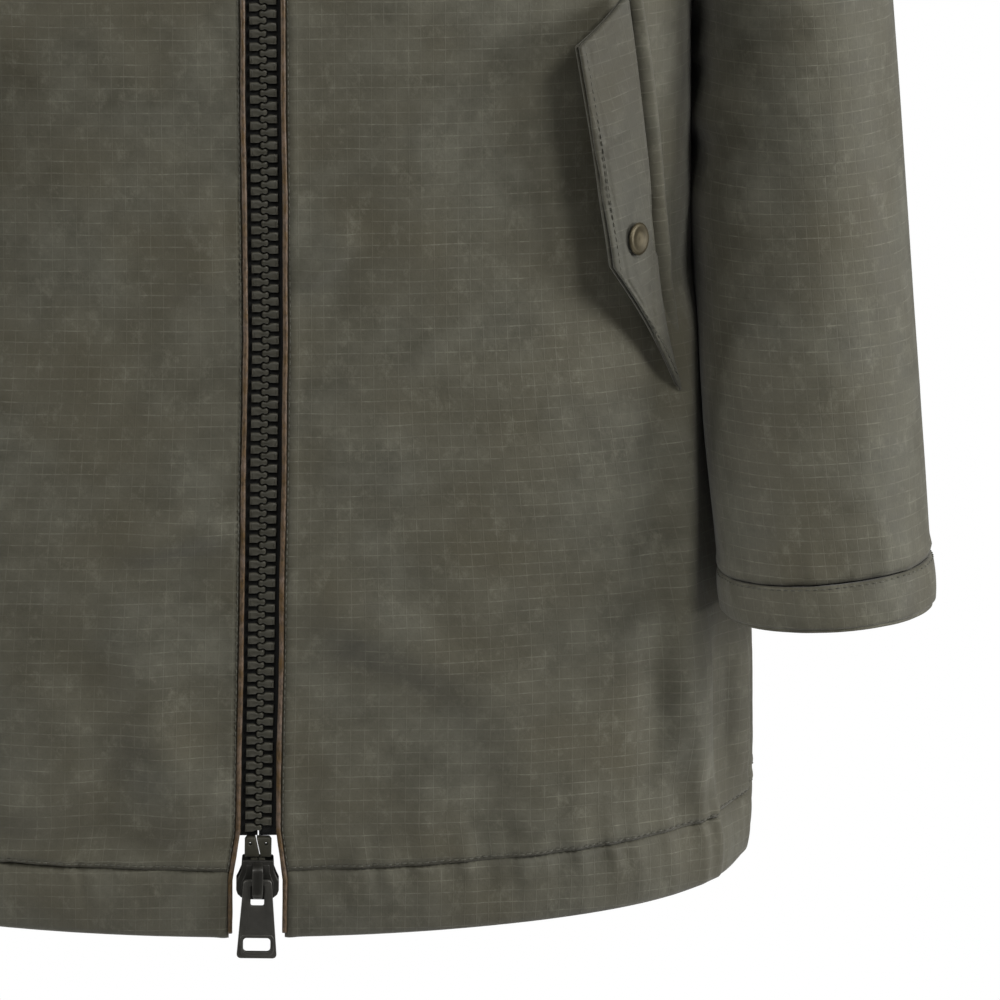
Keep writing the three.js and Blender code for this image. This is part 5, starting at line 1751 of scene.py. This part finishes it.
        slot = rounded(3.3, top - self.bar - 10.6, top - self.bar, 0.9)
        hole = rounded(6.7, foot + 3.4, foot + 10.4, 1.7)
        thick = self.tab_thickness / 2
        plate = Maker.solid(f"{self.name}_tab_plate", outline, -thick, thick, 0.55, [slot, hole])
        rim = rounded(self.tab_foot / 2 - 1.4, foot + 1.5, foot + 12.2, 2.4)
        lip = Maker.solid(
            f"{self.name}_tab_lip",
            rim,
            -thick - 0.3,
            -thick + 0.3,
            0.25,
            [rounded(7.4, foot + 2.7, foot + 11.1, 2.0)],
        )
        local = self.local @ Matrix.Translation((0, -self.proud - 0.4 - (self.crown_rise - 2) / 2, -0.5))
        for part in (plate, lip):
            Maker.settle(part, local)
        return Maker.join(f"{self.name}_tab_shape", [plate, lip])

    def build(self) -> None:
        """Builds and dresses the slider and its tab."""
        for made, finish, body, node in (
            (self.body(), "slider_metal", f"{self.name}_slider", f"{self.name}_slider_body"),
            (self.crown(), "slider_metal", f"{self.name}_slider", f"{self.name}_slider_crown"),
            (self.tab(), "tab_metal", f"{self.name}_tab", f"{self.name}_pull_tab"),
        ):
            Maker.dress(made, WARDROBE[finish], finish)
            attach(made, body)
            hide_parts(node)
        LOG.info("%s slider: body, crown and tab", self.name)


# ---------------------------------------------------------------- the sleeves


@dataclass
class Sleeve:
    """One padded sleeve with its lining and stitched cuff."""

    side: Side
    columns: int = 150
    cuff: float = 29.0
    thickness: float = 3.0
    deepest_valley: float = 2.2
    outs: tuple[tuple[float, float], ...] = (
        (140, 800), (213, 768), (262, 712), (296, 600), (308, 490), (315, 390), (322, 270), (328, 163),
    )
    ins: tuple[tuple[float, float], ...] = (
        (120, 600), (172, 512), (196, 478), (212, 446), (213, 410), (213, 350), (215, 250), (224, 157),
    )
    middles: tuple[float, ...] = (3, 3, 0, -8, -18, -38, -70, -103)
    depths: tuple[float, ...] = (88, 104, 98, 84, 70, 62, 56, 50)

    def stations(self, t: Array) -> tuple[Array, Array]:
        """Section centres and arms along the sleeve.

        Args:
            t: 0 at the neck end and 1 at the cuff.

        Returns:
            Centres and arms (toward the outside), with the half depth last.
        """
        place = np.asarray(t, float) * (len(self.outs) - 1)
        table = np.column_stack([self.outs, self.ins, self.middles, self.depths])
        i = np.clip(np.floor(place).astype(int), 0, len(table) - 2)
        f = (place - i)[..., None]
        at = lambda k: table[np.clip(i + k, 0, len(table) - 1)]
        slope = lambda k: (at(k + 1) - at(k - 1)) / 2
        h = (1 + 2 * f) * (1 - f) ** 2, f * (1 - f) ** 2, f**2 * (3 - 2 * f), f**2 * (f - 1)
        curved = h[0] * at(0) + h[1] * slope(0) + h[2] * at(1) + h[3] * slope(1)
        straight = mix(at(0), at(1), f)
        row = mix(straight, curved, 0.7)
        centre = np.stack(
            [(row[..., 0] + row[..., 2]) / 2, row[..., 4], (row[..., 1] + row[..., 3]) / 2],
            axis=-1,
        )
        arm = np.stack(
            [(row[..., 0] - row[..., 2]) / 2, row[..., 5], (row[..., 1] - row[..., 3]) / 2],
            axis=-1,
        )
        return centre, arm

    def ring(self, t: Array, angle: Array, depth: Array | float) -> Array:
        """Points of the sleeve at t and an angle, a depth below its face."""
        centre, arm = self.stations(t)
        reach = np.hypot(arm[..., 0], arm[..., 2])
        share = (reach - depth) / reach
        cos, sin = np.cos(angle), np.sin(angle)
        x = centre[..., 0] + arm[..., 0] * share * cos
        y = centre[..., 1] + (arm[..., 1] - depth) * sin
        z = centre[..., 2] + arm[..., 2] * share * cos
        return np.stack([x, y, z], axis=-1)

    @property
    def cuff_start(self) -> float:
        """The t at which the cuff's stitching runs."""
        centre, _ = self.stations(np.array([1.0, 6 / 7]))
        return 1 - self.cuff / float(np.linalg.norm(centre[0] - centre[1])) / 7

    def armhole(self, angle: Array, torso: BVHTree) -> Array:
        """For each angle, the t at which the sleeve leaves the body."""
        ts = np.linspace(0.0, 0.7, 141)
        start = np.zeros(len(angle))
        for k, a in enumerate(angle):
            line = self.ring(ts, np.full_like(ts, a), 0.0)
            inside = [inside_of(torso, p) for p in line]
            last = max((i for i, hit in enumerate(inside) if hit), default=0)
            start[k] = ts[last]
        wide = np.concatenate([start[-4:], start, start[:4]])
        return np.convolve(wide, np.ones(9) / 9, "valid")

    def relief(self, t: Array, angle: Array, x: Array, z: Array) -> Array:
        """Wrinkles: elbow folds inside the arm, long soft dents and cuff puckers."""
        inner = smooth((-np.cos(angle) + 0.3) / 1.1)
        elbow = 3.0 * inner * np.cos(
            (t - 0.6) * 62 + 1.6 * np.sin(angle)
        ) * np.exp(-(((t - 0.6) / 0.13) ** 2))
        around = angle / (2 * np.pi) * 400
        wrapped = lambda seed, cell, high: high * (
            Cloudy(seed, cell).at(around, z) * smooth(np.sin(angle / 2) * 3)
        )
        long = wrapped(91, (60, 120), 2.4) + wrapped(92, (30, 44), 1.0)
        slant = 1.3 * Cloudy(93, (34, 60)).at(
            around + 0.7 * z,
            z - 0.4 * around,
        ) * smooth(np.sin(angle / 2) * 3)
        near_cuff = np.exp(-(((t - self.cuff_start) / 0.05) ** 2))
        pucker = Cloudy(94, (9, 40)).at(around, z) * 0.7 * near_cuff
        crease = Fold((318, 238), (276, 214), 7, 1.5).lift(x, z) + Fold(
            (326, 262),
            (290, 226),
            9,
            -1.2,
        ).lift(x, z)
        front = smooth(-np.sin(angle) * 2)
        top = smooth((t - 0.18) / 0.15)
        resting = 5.0 * np.exp(
            -(((angle - 2.8) / 0.4) ** 2)
        ) * smooth((z - 300) / 40) * smooth((600 - z) / 60)
        return (elbow + long + slant + pucker) * (0.35 + 0.65 * top) + crease * front + resting

    def tube(
        self,
        name: str,
        t: Array,
        angle: Array,
        lift: Array,
        outer_depth: float,
        inner_depth: float,
    ) -> tuple[bpy.types.Object, Array]:
        """A sleeve layer over a grid of t and angle."""
        outer = self.ring(t, angle, outer_depth - lift)
        inner = self.ring(t, angle, inner_depth)
        across = np.abs(np.where(angle > np.pi, angle - 2 * np.pi, angle)) / np.pi * 170
        uv = np.stack([across, outer[..., 2]], axis=-1)
        if self.side is Side.RIGHT:
            outer, inner, uv = self.mirror(outer), self.mirror(inner), uv[:, ::-1]
        made = Maker.shell(name, outer, inner, uv, ring=True)
        return made, outer

    def mirror(self, grid: Array) -> Array:
        """The grid on the wearer's other side, still facing outward."""
        return (grid * np.array([-1.0, 1.0, 1.0]))[:, ::-1]

    def cross_seam(self, made: bpy.types.Object) -> None:
        """Bakes the piece's placement into its mesh."""
        s = self.side.value
        start = Place.row(np.array([s * 212.0, 0, 520.0]))
        end = Place.row(np.array([s * 330.0, 0, 457.0]))
        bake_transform(made)

    def build(self, torso: BVHTree) -> None:
        """Builds and dresses the sleeve."""
        tag = self.side.tag
        body = f"sleeve_{tag}"
        angle = np.linspace(0, 2 * np.pi, self.columns, endpoint=False)
        start = self.armhole(angle, torso)
        rows = 190
        share = np.linspace(0, 1, rows)[:, None]
        t = mix(start[None, :] + 0.002, self.cuff_start - 0.001, share)
        ang = np.broadcast_to(angle[None, :], t.shape)
        base = self.ring(t, ang, 0.0)
        lift = self.relief(t, ang, base[..., 0], base[..., 2])
        from_seam = (t - start[None, :]) * 800
        lift = lift * smooth(from_seam / 30) - 1.3 * np.exp(-((from_seam / 3.0) ** 2)) + 1.2 * np.exp(
            -(((from_seam - 9) / 6) ** 2)
        )
        to_cuff = (self.cuff_start - t) * 7 * 115
        lift = lift - 1.3 * np.exp(-((to_cuff / 1.2) ** 2)) + 0.8 * np.exp(-(((to_cuff - 4) / 3.4) ** 2))
        under = np.minimum(np.abs(ang - np.pi), 1.0) * 60
        lift = lift - 0.9 * np.exp(-((under / 1.6) ** 2))
        eased = within_cloth(lift, self.deepest_valley)
        cloth, grid = self.tube(f"sleeve_cloth_{tag}", t, ang, eased, 0.0, self.thickness)
        Maker.dress(cloth, WARDROBE["olive_sleeve"], "olive_sleeve")
        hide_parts(*(f"sleeve_{a}_{b}_{tag}" for a in ("upper", "lower") for b in ("front", "back")))
        self.cross_seam(cloth)
        out = self.outward(grid)
        joined = lambda k: np.concatenate([grid[k], grid[k][:1]])
        joined_out = lambda k: np.concatenate([out[k], out[k][:1]])
        sewn = StitchRow().sew(f"armhole_stitch_{tag}", joined(5), joined_out(5))
        Maker.dress(sewn, WARDROBE["thread"], "olive_sleeve")
        self.cross_seam(sewn)
        self.cuff_band(angle)
        lining_t = mix(start[None, :] + 0.004, 0.995, np.linspace(0, 1, 60)[:, None])
        ang = np.broadcast_to(angle[None, :], lining_t.shape)
        wave = Cloudy(95, (40, 90)).at(ang * 60, lining_t * 800) * 0.3
        lining, _ = self.tube(
            f"sleeve_lining_cloth_{tag}",
            lining_t,
            ang,
            wave,
            self.thickness + 0.5,
            self.thickness + 1.6,
        )
        Maker.dress(lining, WARDROBE["lining"], "lining")
        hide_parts(f"sleeve_lining_{tag}")
        self.cross_seam(lining)
        LOG.info("sleeve %s: cloth, cuff, lining and stitching on %s", tag, body)

    def outward(self, grid: Array) -> Array:
        """Outward normals of a ring grid."""
        wide = np.concatenate([grid[:, -1:], grid, grid[:, :1]], axis=1)
        n = np.cross(np.gradient(wide, axis=1), np.gradient(wide, axis=0))[:, 1:-1]
        n /= np.maximum(np.linalg.norm(n, axis=-1, keepdims=True), 1e-9)
        centre = grid.mean(axis=1, keepdims=True)
        return n * np.sign(np.sum(n * (grid - centre), axis=-1, keepdims=True))

    def cuff_band(self, angle: Array) -> None:
        """The turned-up cuff with its row of stitching."""
        tag = self.side.tag
        t = np.broadcast_to(np.linspace(self.cuff_start + 0.0004, 1.0, 44)[:, None], (44, len(angle)))
        ang = np.broadcast_to(angle[None, :], t.shape)
        far = (t - self.cuff_start) * 7 * 115
        puff = 1.1 * np.sin(np.pi * np.clip(far / self.cuff, 0, 1)) ** 0.7 + 0.3
        pucker = Cloudy(96, (10, 26)).at(ang * 64, far) * 0.7 * smooth(np.sin(ang / 2) * 4)
        edge = edge_dip(self.cuff - far, 2.4) - 1.2 * np.exp(-((far / 1.2) ** 2))
        cuff, grid = self.tube(
            f"cuff_cloth_{tag}",
            t,
            ang,
            within_cloth(puff + pucker + edge, self.deepest_valley),
            0.0,
            self.thickness,
        )
        Maker.dress(cuff, WARDROBE["olive_sleeve"], "olive_sleeve")
        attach(cuff, f"sleeve_{tag}")
        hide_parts(f"cuff_band_{tag}")
        out = self.outward(grid)
        line = np.concatenate([grid[2], grid[2][:1]])
        sewn = StitchRow().sew(f"cuff_stitch_{tag}", line, np.concatenate([out[2], out[2][:1]]))
        Maker.dress(sewn, WARDROBE["thread"], "olive_sleeve")
        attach(sewn, f"sleeve_{tag}")

    def closed_tree(self) -> BVHTree:
        """The sleeve's bore as a search tree, for the armhole in the body."""
        angle = np.linspace(0, 2 * np.pi, 48, endpoint=False)
        t = np.linspace(0, 0.72, 40)
        grid = self.ring(
            np.broadcast_to(t[:, None], (40, 48)),
            np.broadcast_to(angle[None, :], (40, 48)),
            2.0,
        )
        grid = grid * np.array([self.side.value, 1.0, 1.0])
        faces = []
        for r in range(39):
            for k in range(48):
                a, b = r * 48 + k, r * 48 + (k + 1) % 48
                faces.append((a, b, b + 48, a + 48) if self.side is Side.RIGHT else (a, a + 48, b + 48, b))
        faces.append(tuple(range(48)) if self.side is Side.LEFT else tuple(range(48))[::-1])
        last = 39 * 48
        faces.append(tuple(last + k for k in range(48))[:: -1 if self.side is Side.LEFT else 1])
        return BVHTree.FromPolygons([Vector(p) for p in grid.reshape(-1, 3)], faces)


def inside_of(tree: BVHTree, point: Array) -> bool:
    """Whether a point lies inside a closed form, by crossings along one line."""
    origin, direction = Vector(point), Vector((0.313, 0.871, 0.379)).normalized()
    crossings = 0
    for _ in range(12):
        hit, _, _, _ = tree.ray_cast(origin, direction)
        if hit is None:
            break
        crossings += 1
        origin = hit + direction * 1e-3
    return crossings % 2 == 1


def torso_tree() -> BVHTree:
    """The body's outer form, closed at the hem and the neck."""
    u = np.linspace(0, 1, 120, endpoint=False)
    v = np.concatenate([np.linspace(0, 600, 50), np.linspace(606, 800, 40)])
    grid = FORM.surface(u[None, :], v[:, None])
    n, rows = len(u), len(v)
    faces = []
    for r in range(rows - 1):
        for k in range(n):
            a, b = r * n + k, r * n + (k + 1) % n
            faces.append((a, b, b + n, a + n))
    faces.append(tuple(range(n))[::-1])
    faces.append(tuple((rows - 1) * n + k for k in range(n)))
    return BVHTree.FromPolygons([Vector(p) for p in grid.reshape(-1, 3)], faces)


# ------------------------------------------------------------------ pockets


@dataclass
class PocketFlap:
    """A slanted two-ply pocket flap with its snap and welt."""

    side: Side
    low: tuple[float, float] = (0.911, 265.0)
    high: tuple[float, float] = (0.803, 466.0)
    width: float = 33.0
    free_low: float = 335.0
    free_high: float = 445.0
    ply: float = 1.5
    lift: float = 2.6
    snap_radius: float = 8.0
    snap_in: float = 14.0
    snap_up: float = 0.28
    stand: float = 14.0
    rise: float = 2.5

    def base_x(self, corner: tuple[float, float]) -> float:
        """Sideways place of one end of the flap's seam."""
        return corner[0] * float(
            FORM.up_body(
                np.array(corner[1]),
                FORM.hem_half_width,
                FORM.waist_half_width,
                FORM.chest_half_width,
            )
        )

    def along(self, u: float, v: float, length: float) -> float:
        """The u reached by walking toward the front centre."""
        steps = u - 0.0005 * np.arange(500)
        line = FORM.surface(steps, np.full_like(steps, v))
        return float(np.interp(length, lengths(line), steps))

    def corners(self) -> dict[str, tuple[float, float]]:
        """The flap's four corners as places on the form."""
        at = lambda c: float(FORM.u_at_x(np.array(self.base_x(c)), np.array(c[1])))
        low, high = at(self.low), at(self.high)

        def free(z: float) -> float:
            """The u of the free edge at a height."""
            return self.along(mix(low, high, (z - self.low[1]) / (self.high[1] - self.low[1])), z, self.width)

        return {
            "base_low": (low, self.low[1]),
            "base_high": (high, self.high[1]),
            "free_low": (free(self.free_low), self.free_low),
            "free_high": (free(self.free_high), self.free_high),
        }

    def places(self, s: Array, t: Array) -> tuple[Array, Array]:
        """The u and v of a share s from seam to free edge and t up the flap."""
        c = {k: np.array(p) for k, p in self.corners().items()}
        base = mix(c["base_low"], c["base_high"], t[..., None])
        free = mix(c["free_low"], c["free_high"], t[..., None])
        both = mix(base, free, s[..., None])
        return both[..., 0], both[..., 1]

    def standing(self, s: Array, t: Array) -> Array:
        """How far the flap stands off the body beyond its lift."""
        bow = smooth((s - 0.15) / 0.85) * np.sin(np.pi * np.clip(0.12 + 0.76 * t, 0, 1)) ** 0.8
        held = 1 - 0.45 * np.exp(-(((t - 0.3) / 0.12) ** 2)) * smooth(s)
        return self.stand * s + self.rise * bow * held

    def ply_mesh(
        self,
        name: str,
        top: float,
        foot: float,
        margin: float,
        puff: float,
    ) -> tuple[bpy.types.Object, Array]:
        """One ply of the flap as a closed padded layer."""
        rows, cols = 130, 44
        t = np.linspace(margin, 1 - margin, rows)[:, None] + np.zeros((rows, cols))
        s = np.linspace(1 - margin * 0.5, margin * 0.2, cols)[None, :] + np.zeros((rows, cols))
        u, v = self.places(s, t)
        base, out = FORM.surface(u, v), FORM.normal(u, v, 0.0, 600.0)
        edge = np.minimum(np.minimum(t, 1 - t) * 150, np.minimum(s * 2 + 0.1, 1 - s) * self.width)
        crown = puff * (1 - np.exp(-edge / 5)) - 0.7 * np.exp(-(((edge - 5.0) / 1.1) ** 2))
        soft = Cloudy(101, (17, 26)).at(s * self.width, t * 150) * 0.7
        above = self.standing(s, t) + soft * (1 - np.exp(-edge / 6))
        outer = base + out * (top + above + crown + edge_dip(edge, 0.9))[..., None]
        inner = base + out * (foot + above)[..., None]
        uv = np.stack([s * self.width, base[..., 2]], axis=-1)
        if self.side is Side.RIGHT:
            flip = np.array([-1.0, 1.0, 1.0])
            outer, inner, uv = (outer * flip)[:, ::-1], (inner * flip)[:, ::-1], uv[:, ::-1]
        return Maker.shell(name, outer, inner, uv), outer

    def plump(self, made: bpy.types.Object, cap: float) -> None:
        """Fills a ply with a short cloth simulation, its seam held.

        Args:
            made: the ply.
            cap: the furthest that a point may move, in metres.
        """
        before = np.empty(len(made.data.vertices) * 3)
        made.data.vertices.foreach_get("co", before)
        start = before.reshape(-1, 3)
        reach = start[:, 0] * self.side.value
        held = made.vertex_groups.new(name="seam")
        held.add([int(i) for i in np.nonzero(reach > np.quantile(reach, 0.93))[0]], 1.0, "REPLACE")
        cloth = made.modifiers.new("fill", "CLOTH")
        cloth.settings.use_pressure = True
        cloth.settings.uniform_pressure_force = 3.0
        cloth.settings.effector_weights.gravity = 0.0
        cloth.settings.vertex_group_mass = "seam"
        cloth.settings.shrink_min = -0.02
        cloth.settings.quality = 6
        scene = bpy.context.scene
        for frame in range(1, 19):
            scene.frame_set(frame)
        graph = bpy.context.evaluated_depsgraph_get()
        fresh = made.evaluated_get(graph).to_mesh()
        after = np.empty(len(start) * 3)
        fresh.vertices.foreach_get("co", after)
        made.evaluated_get(graph).to_mesh_clear()
        made.modifiers.clear()
        made.vertex_groups.clear()
        scene.frame_set(1)
        step = after.reshape(-1, 3) - start
        far = np.linalg.norm(step, axis=1, keepdims=True)
        step *= np.minimum(1, cap / np.maximum(far, 1e-9))
        made.data.vertices.foreach_set("co", (start + step).ravel())
        made.data.update()

    def snap_at(self) -> tuple[Array, Array]:
        """Where the snap sits: a point and its outward direction."""
        along, step = 1 - self.snap_in / self.width, 0.05

        def face(s: float, t: float) -> Array:
            """A point of the flap's face."""
            u, v = self.places(np.array(s), np.array(t))
            off = self.standing(np.array(s), np.array(t))
            return FORM.surface(u, v) + FORM.normal(u, v, 0.0, 600.0) * off

        across = face(along - step, self.snap_up) - face(along + step, self.snap_up)
        upward = face(along, self.snap_up + step) - face(along, self.snap_up - step)
        out = np.cross(across, upward)
        flip = np.array([self.side.value, 1.0, 1.0])
        return face(along, self.snap_up) * flip, out / np.linalg.norm(out) * flip

    def cap(self) -> bpy.types.Object:
        """The snap's domed cap, turned with a rim and a shallow dish."""
        foot, out = self.snap_at()
        top = self.lift + 2 * self.ply + 0.4
        raised = 0.9
        r = self.snap_radius
        profile = [
            (0.0, 0.75),
            (2.2, 0.82),
            (4.6, 1.05),
            (5.9, 1.32),
            (6.9, 1.3),
            (7.6, 1.0),
            (8.0, 0.4),
            (7.8, -0.3),
            (6.6, -0.7),
            (0.0, -0.7),
        ]
        z_axis = Vector(out)
        turn = z_axis.to_track_quat("Z", "Y").to_matrix()
        steps, points, faces = 40, [], []
        for rad, high in profile:
            for k in range(steps):
                a = 2 * math.pi * k / steps
                local = turn @ Vector(
                    (rad / 8 * r * math.cos(a), rad / 8 * r * math.sin(a), top + raised + high)
                )
                points.append(foot + np.array(local))
        for i in range(len(profile) - 1):
            for k in range(steps):
                a, b = i * steps + k, i * steps + (k + 1) % steps
                faces.append([a, a + steps, b + steps, b])
        return Maker.mesh(f"snap_cap_shape_{self.side.tag}", Place.row(np.array(points)), faces, None)

    def welt(self) -> bpy.types.Object:
        """The rolled welt behind the flap's seam."""
        t = np.linspace(0, 1, 120)
        c = self.corners()
        u = mix(c["base_low"][0], c["base_high"][0], t) + 0.003 + 0.0045
        v = mix(self.low[1], self.high[1], t)
        line = FORM.surface(u, v) + FORM.normal(u, v, 0.0, 600.0) * 1.5
        line = line * np.array([self.side.value, 1.0, 1.0])
        taper = 0.35 + 0.65 * np.sin(np.pi * t) ** 0.25
        wander = 1 + 0.07 * Cloudy(104, (20, 14)).at(t * 0, v)
        return Maker.tube(f"welt_roll_{self.side.tag}", line, 4.6 * taper * wander, 14, 0.42)

    def build(self) -> None:
        """Builds and dresses the pocket."""
        tag, body = self.side.tag, f"flap_{self.side.tag}"
        top = self.lift + 2 * self.ply + 0.4
        outer, grid = self.ply_mesh(f"flap_cloth_{tag}", top, self.lift + self.ply + 0.5, 0.0, 0.9)
        under, _ = self.ply_mesh(f"flap_under_{tag}", self.lift + self.ply, self.lift, 0.012, 0.0)
        self.plump(outer, 0.0016)
        for made, node in ((outer, "pocket_flap"), (under, "flap_facing")):
            # The flap plies take the darkened copy of the shell cloth, painted shade.
            Maker.dress(made, WARDROBE["olive_flap"], "olive_shell")
            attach(made, body)
            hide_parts(f"{node}_{tag}")
        self.topstitch(grid, body)
        cap = self.cap()
        Maker.dress(cap, WARDROBE["snap_metal"], "snap_metal")
        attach(cap, body)
        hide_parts(f"snap_cap_{tag}")
        roll = self.welt()
        Maker.dress(roll, WARDROBE["olive_shell"], "olive_shell")
        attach(roll, "jacket_body")
        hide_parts(f"pocket_welt_{tag}")
        LOG.info("pocket %s: flap, facing, snap and welt", tag)

    def topstitch(self, grid: Array, body: str) -> None:
        """Sews round the flap's three free edges."""
        out = grid_normals(grid)
        out = out * np.sign(np.sum(out * np.array([0, -1.0, 0]), axis=-1, keepdims=True))
        in_rows, in_cols = 4, 5
        free = in_cols if self.side is Side.LEFT else grid.shape[1] - 1 - in_cols
        base = grid.shape[1] - 3 if self.side is Side.LEFT else 2
        step = 1 if base > free else -1
        path = [(in_rows, c) for c in range(base, free, -step)]
        path += [(r, free) for r in range(in_rows, grid.shape[0] - in_rows)]
        path += [(grid.shape[0] - 1 - in_rows, c) for c in range(free, base, step)]
        rows, cols = zip(*path)
        line, normal = grid[rows, cols], out[rows, cols]
        sewn = StitchRow().sew(f"flap_stitch_{self.side.tag}", line + normal * 0.3, normal)
        Maker.dress(sewn, WARDROBE["thread"], "olive_shell")
        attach(sewn, body)


# ------------------------------------------------------- hanger and label


@dataclass
class NeckTrim:
    """The hanger loop and the blank size label inside the neck."""

    width: float = 60.0
    drop: float = 12.0
    band: float = 6.0
    label: tuple[float, float] = (60.0, 32.0)

    def loop(self) -> bpy.types.Object:
        """A woven tape sewn down at its ends, with its middle hanging free."""
        half, b = self.width / 2, self.band
        path = [
            (-half + b / 2, b * 0.5),
            (half - b / 2, b * 0.5),
            (half - b * 0.6, -b / 4),
            (half - 1.4 * b, -self.drop + b * 0.35),
            (0, -self.drop + b * 0.2),
            (-half + 1.4 * b, -self.drop + b * 0.35),
            (-half + b * 0.6, -b / 4),
            (-half + b / 2, b * 0.5),
            (0, b * 0.5),
        ]
        dense = resample(np.array([(x, 0.0, z) for x, z in path]), 0.6)
        for _ in range(5):
            dense[1:-1] = (dense[:-2] + dense[1:-1] * 2 + dense[2:]) / 4
        made = Maker.tube("hanger_tape", dense + Place.ORIGIN, 2.1, 12, 0.42)
        return made

    def tag_sheet(self) -> bpy.types.Object:
        """The label: a blank woven patch with a slight curl."""
        w, h = self.label
        x, z = np.linspace(-w / 2, w / 2, 60), np.linspace(0, h, 34)
        gx, gz = np.meshgrid(x, z)
        curl = 0.25 * Cloudy(111, (18, 14)).at(gx, gz) - 0.15
        at = Place.ORIGIN + np.array([0, -0.5, self.band + 4])
        outer = np.stack([gx, -0.4 + curl, gz], axis=-1) + at
        inner = np.stack([gx, 0.4 + curl, gz], axis=-1) + at
        return Maker.shell("label_patch", outer, inner, np.stack([gx, gz], axis=-1))

    def build(self) -> None:
        """Builds and dresses both."""
        loop = self.loop()
        Maker.dress(loop, WARDROBE["tape"], "tape")
        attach(loop, "jacket_body")
        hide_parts("hanger_loop")
        patch = self.tag_sheet()
        Maker.dress(patch, WARDROBE["tape"], "tape")
        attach(patch, "jacket_body")
        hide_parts("neck_label")
        LOG.info("neck: hanger loop and label")


# ------------------------------------------------------------------- studio


@dataclass
class Studio:
    """A white room with soft light, a pale floor and the camera."""

    eye: tuple[float, float, float] = (0.0, -3000.0, 900.0)
    aim: tuple[float, float, float] = (113.0, -125.0, 221.0)
    lens: float = 219.2

    def camera(self) -> None:
        """Sets up the camera."""
        data = bpy.data.cameras.new("camera")
        data.lens, data.sensor_width = self.lens, 36.0
        data.clip_end = 50
        made = bpy.data.objects.new("camera", data)
        bpy.context.scene.collection.objects.link(made)
        eye, aim = (Vector(Place.row(np.array(p))) for p in (self.eye, self.aim))
        made.location = eye
        made.rotation_euler = (aim - eye).to_track_quat("-Z", "Y").to_euler()
        bpy.context.scene.camera = made

    def lamp(self, name: str, at: tuple[float, float, float], size: float, power: float) -> None:
        """One soft square light aimed at the jacket."""
        data = bpy.data.lights.new(name, "AREA")
        data.size, data.energy = size, power
        made = bpy.data.objects.new(name, data)
        made.location = at
        target = Vector((0, -0.1, -0.5))
        made.rotation_euler = (target - Vector(at)).to_track_quat("-Z", "Y").to_euler()
        bpy.context.scene.collection.objects.link(made)

    def room(self) -> None:
        """A white surround that is full strength to the eye and softer as light."""
        world = bpy.data.worlds.new("room")
        bpy.context.scene.world = world
        world.use_nodes = True
        tree = world.node_tree
        shade = tree.nodes["Background"]
        path = tree.nodes.new("ShaderNodeLightPath")
        strength = tree.nodes.new("ShaderNodeMapRange")
        tree.links.new(path.outputs["Is Camera Ray"], strength.inputs[0])
        strength.inputs[3].default_value = 0.1
        strength.inputs[4].default_value = 1.0
        tree.links.new(strength.outputs[0], shade.inputs["Strength"])
        shade.inputs["Color"].default_value = (1, 1, 1, 1)

    def floor(self) -> None:
        """A pale floor well below the hanging jacket."""
        z = float(Place.row(np.array([0, 0, -900.0]))[2])
        size = np.linspace(-1.6, 1.6, 9)
        gx, gy = np.meshgrid(size, size)
        points = np.stack([gx, gy, gx * 0 + z], axis=-1)
        faces = [
            [r * 9 + c, r * 9 + c + 1, r * 9 + c + 10, r * 9 + c + 9] for r in range(8) for c in range(8)
        ]
        made = Maker.mesh("floor", points, faces, None)
        n = Nodes("pale_floor")
        cloud = n.noise(n.position(), 3.0, 3.0)
        pale = n.blend(cloud, (0.8, 0.8, 0.79, 1), (0.84, 0.84, 0.83, 1))
        made.data.materials.append(n.finish(pale, 0.7))

    def build(self) -> None:
        """Builds the studio."""
        scene = bpy.context.scene
        scene.view_settings.view_transform = "Standard"
        self.camera()
        self.room()
        self.floor()
        self.lamp("key", (2.0, -2.1, 1.7), 0.9, 64)
        self.lamp("side_left", (2.4, -0.6, -0.2), 1.0, 46)
        self.lamp("fill", (-1.2, -2.6, 1.5), 1.0, 32)
        self.lamp("side_right", (-2.6, -0.4, 0.0), 1.2, 40)
        self.lamp("behind", (0.4, 2.6, 0.8), 1.8, 30)


# --------------------------------------------------------------------- main


def dress_kept_nodes(nodes: dict[str, bpy.types.Object]) -> None:
    """Gives the frame's own solids that stay in place their finishes."""
    kept = {"pocket_bag": "lining", "snap_stud": "snap_metal"}
    for stem, finish in kept.items():
        for side in Side:
            node = nodes[f"{stem}_{side.tag}"]
            node.data.materials.clear()
            node.data.materials.append(WARDROBE[finish])


def main() -> None:
    """Builds the jacket, piece by piece, on its frame."""
    logging.basicConfig(level=logging.INFO, format="%(name)s: %(message)s")
    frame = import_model()
    Studio().build()
    WARDROBE.stock()
    dress_kept_nodes(frame["nodes"])
    sleeves = {side: Sleeve(side) for side in Side}
    BodyShell(bores=[s.closed_tree() for s in sleeves.values()]).build()
    Collar().build()
    Inside(bores=[s.closed_tree() for s in sleeves.values()]).build()
    torso = torso_tree()
    for side, sleeve in sleeves.items():
        sleeve.build(torso)
        PocketFlap(side).build()
    Chain().build()
    Slider("lower", 31.0, False).build()
    Slider("upper", ZIP.top - 6 - 10 - 0.8, True).build()
    NeckTrim().build()


if __name__ == "__main__":
    main()
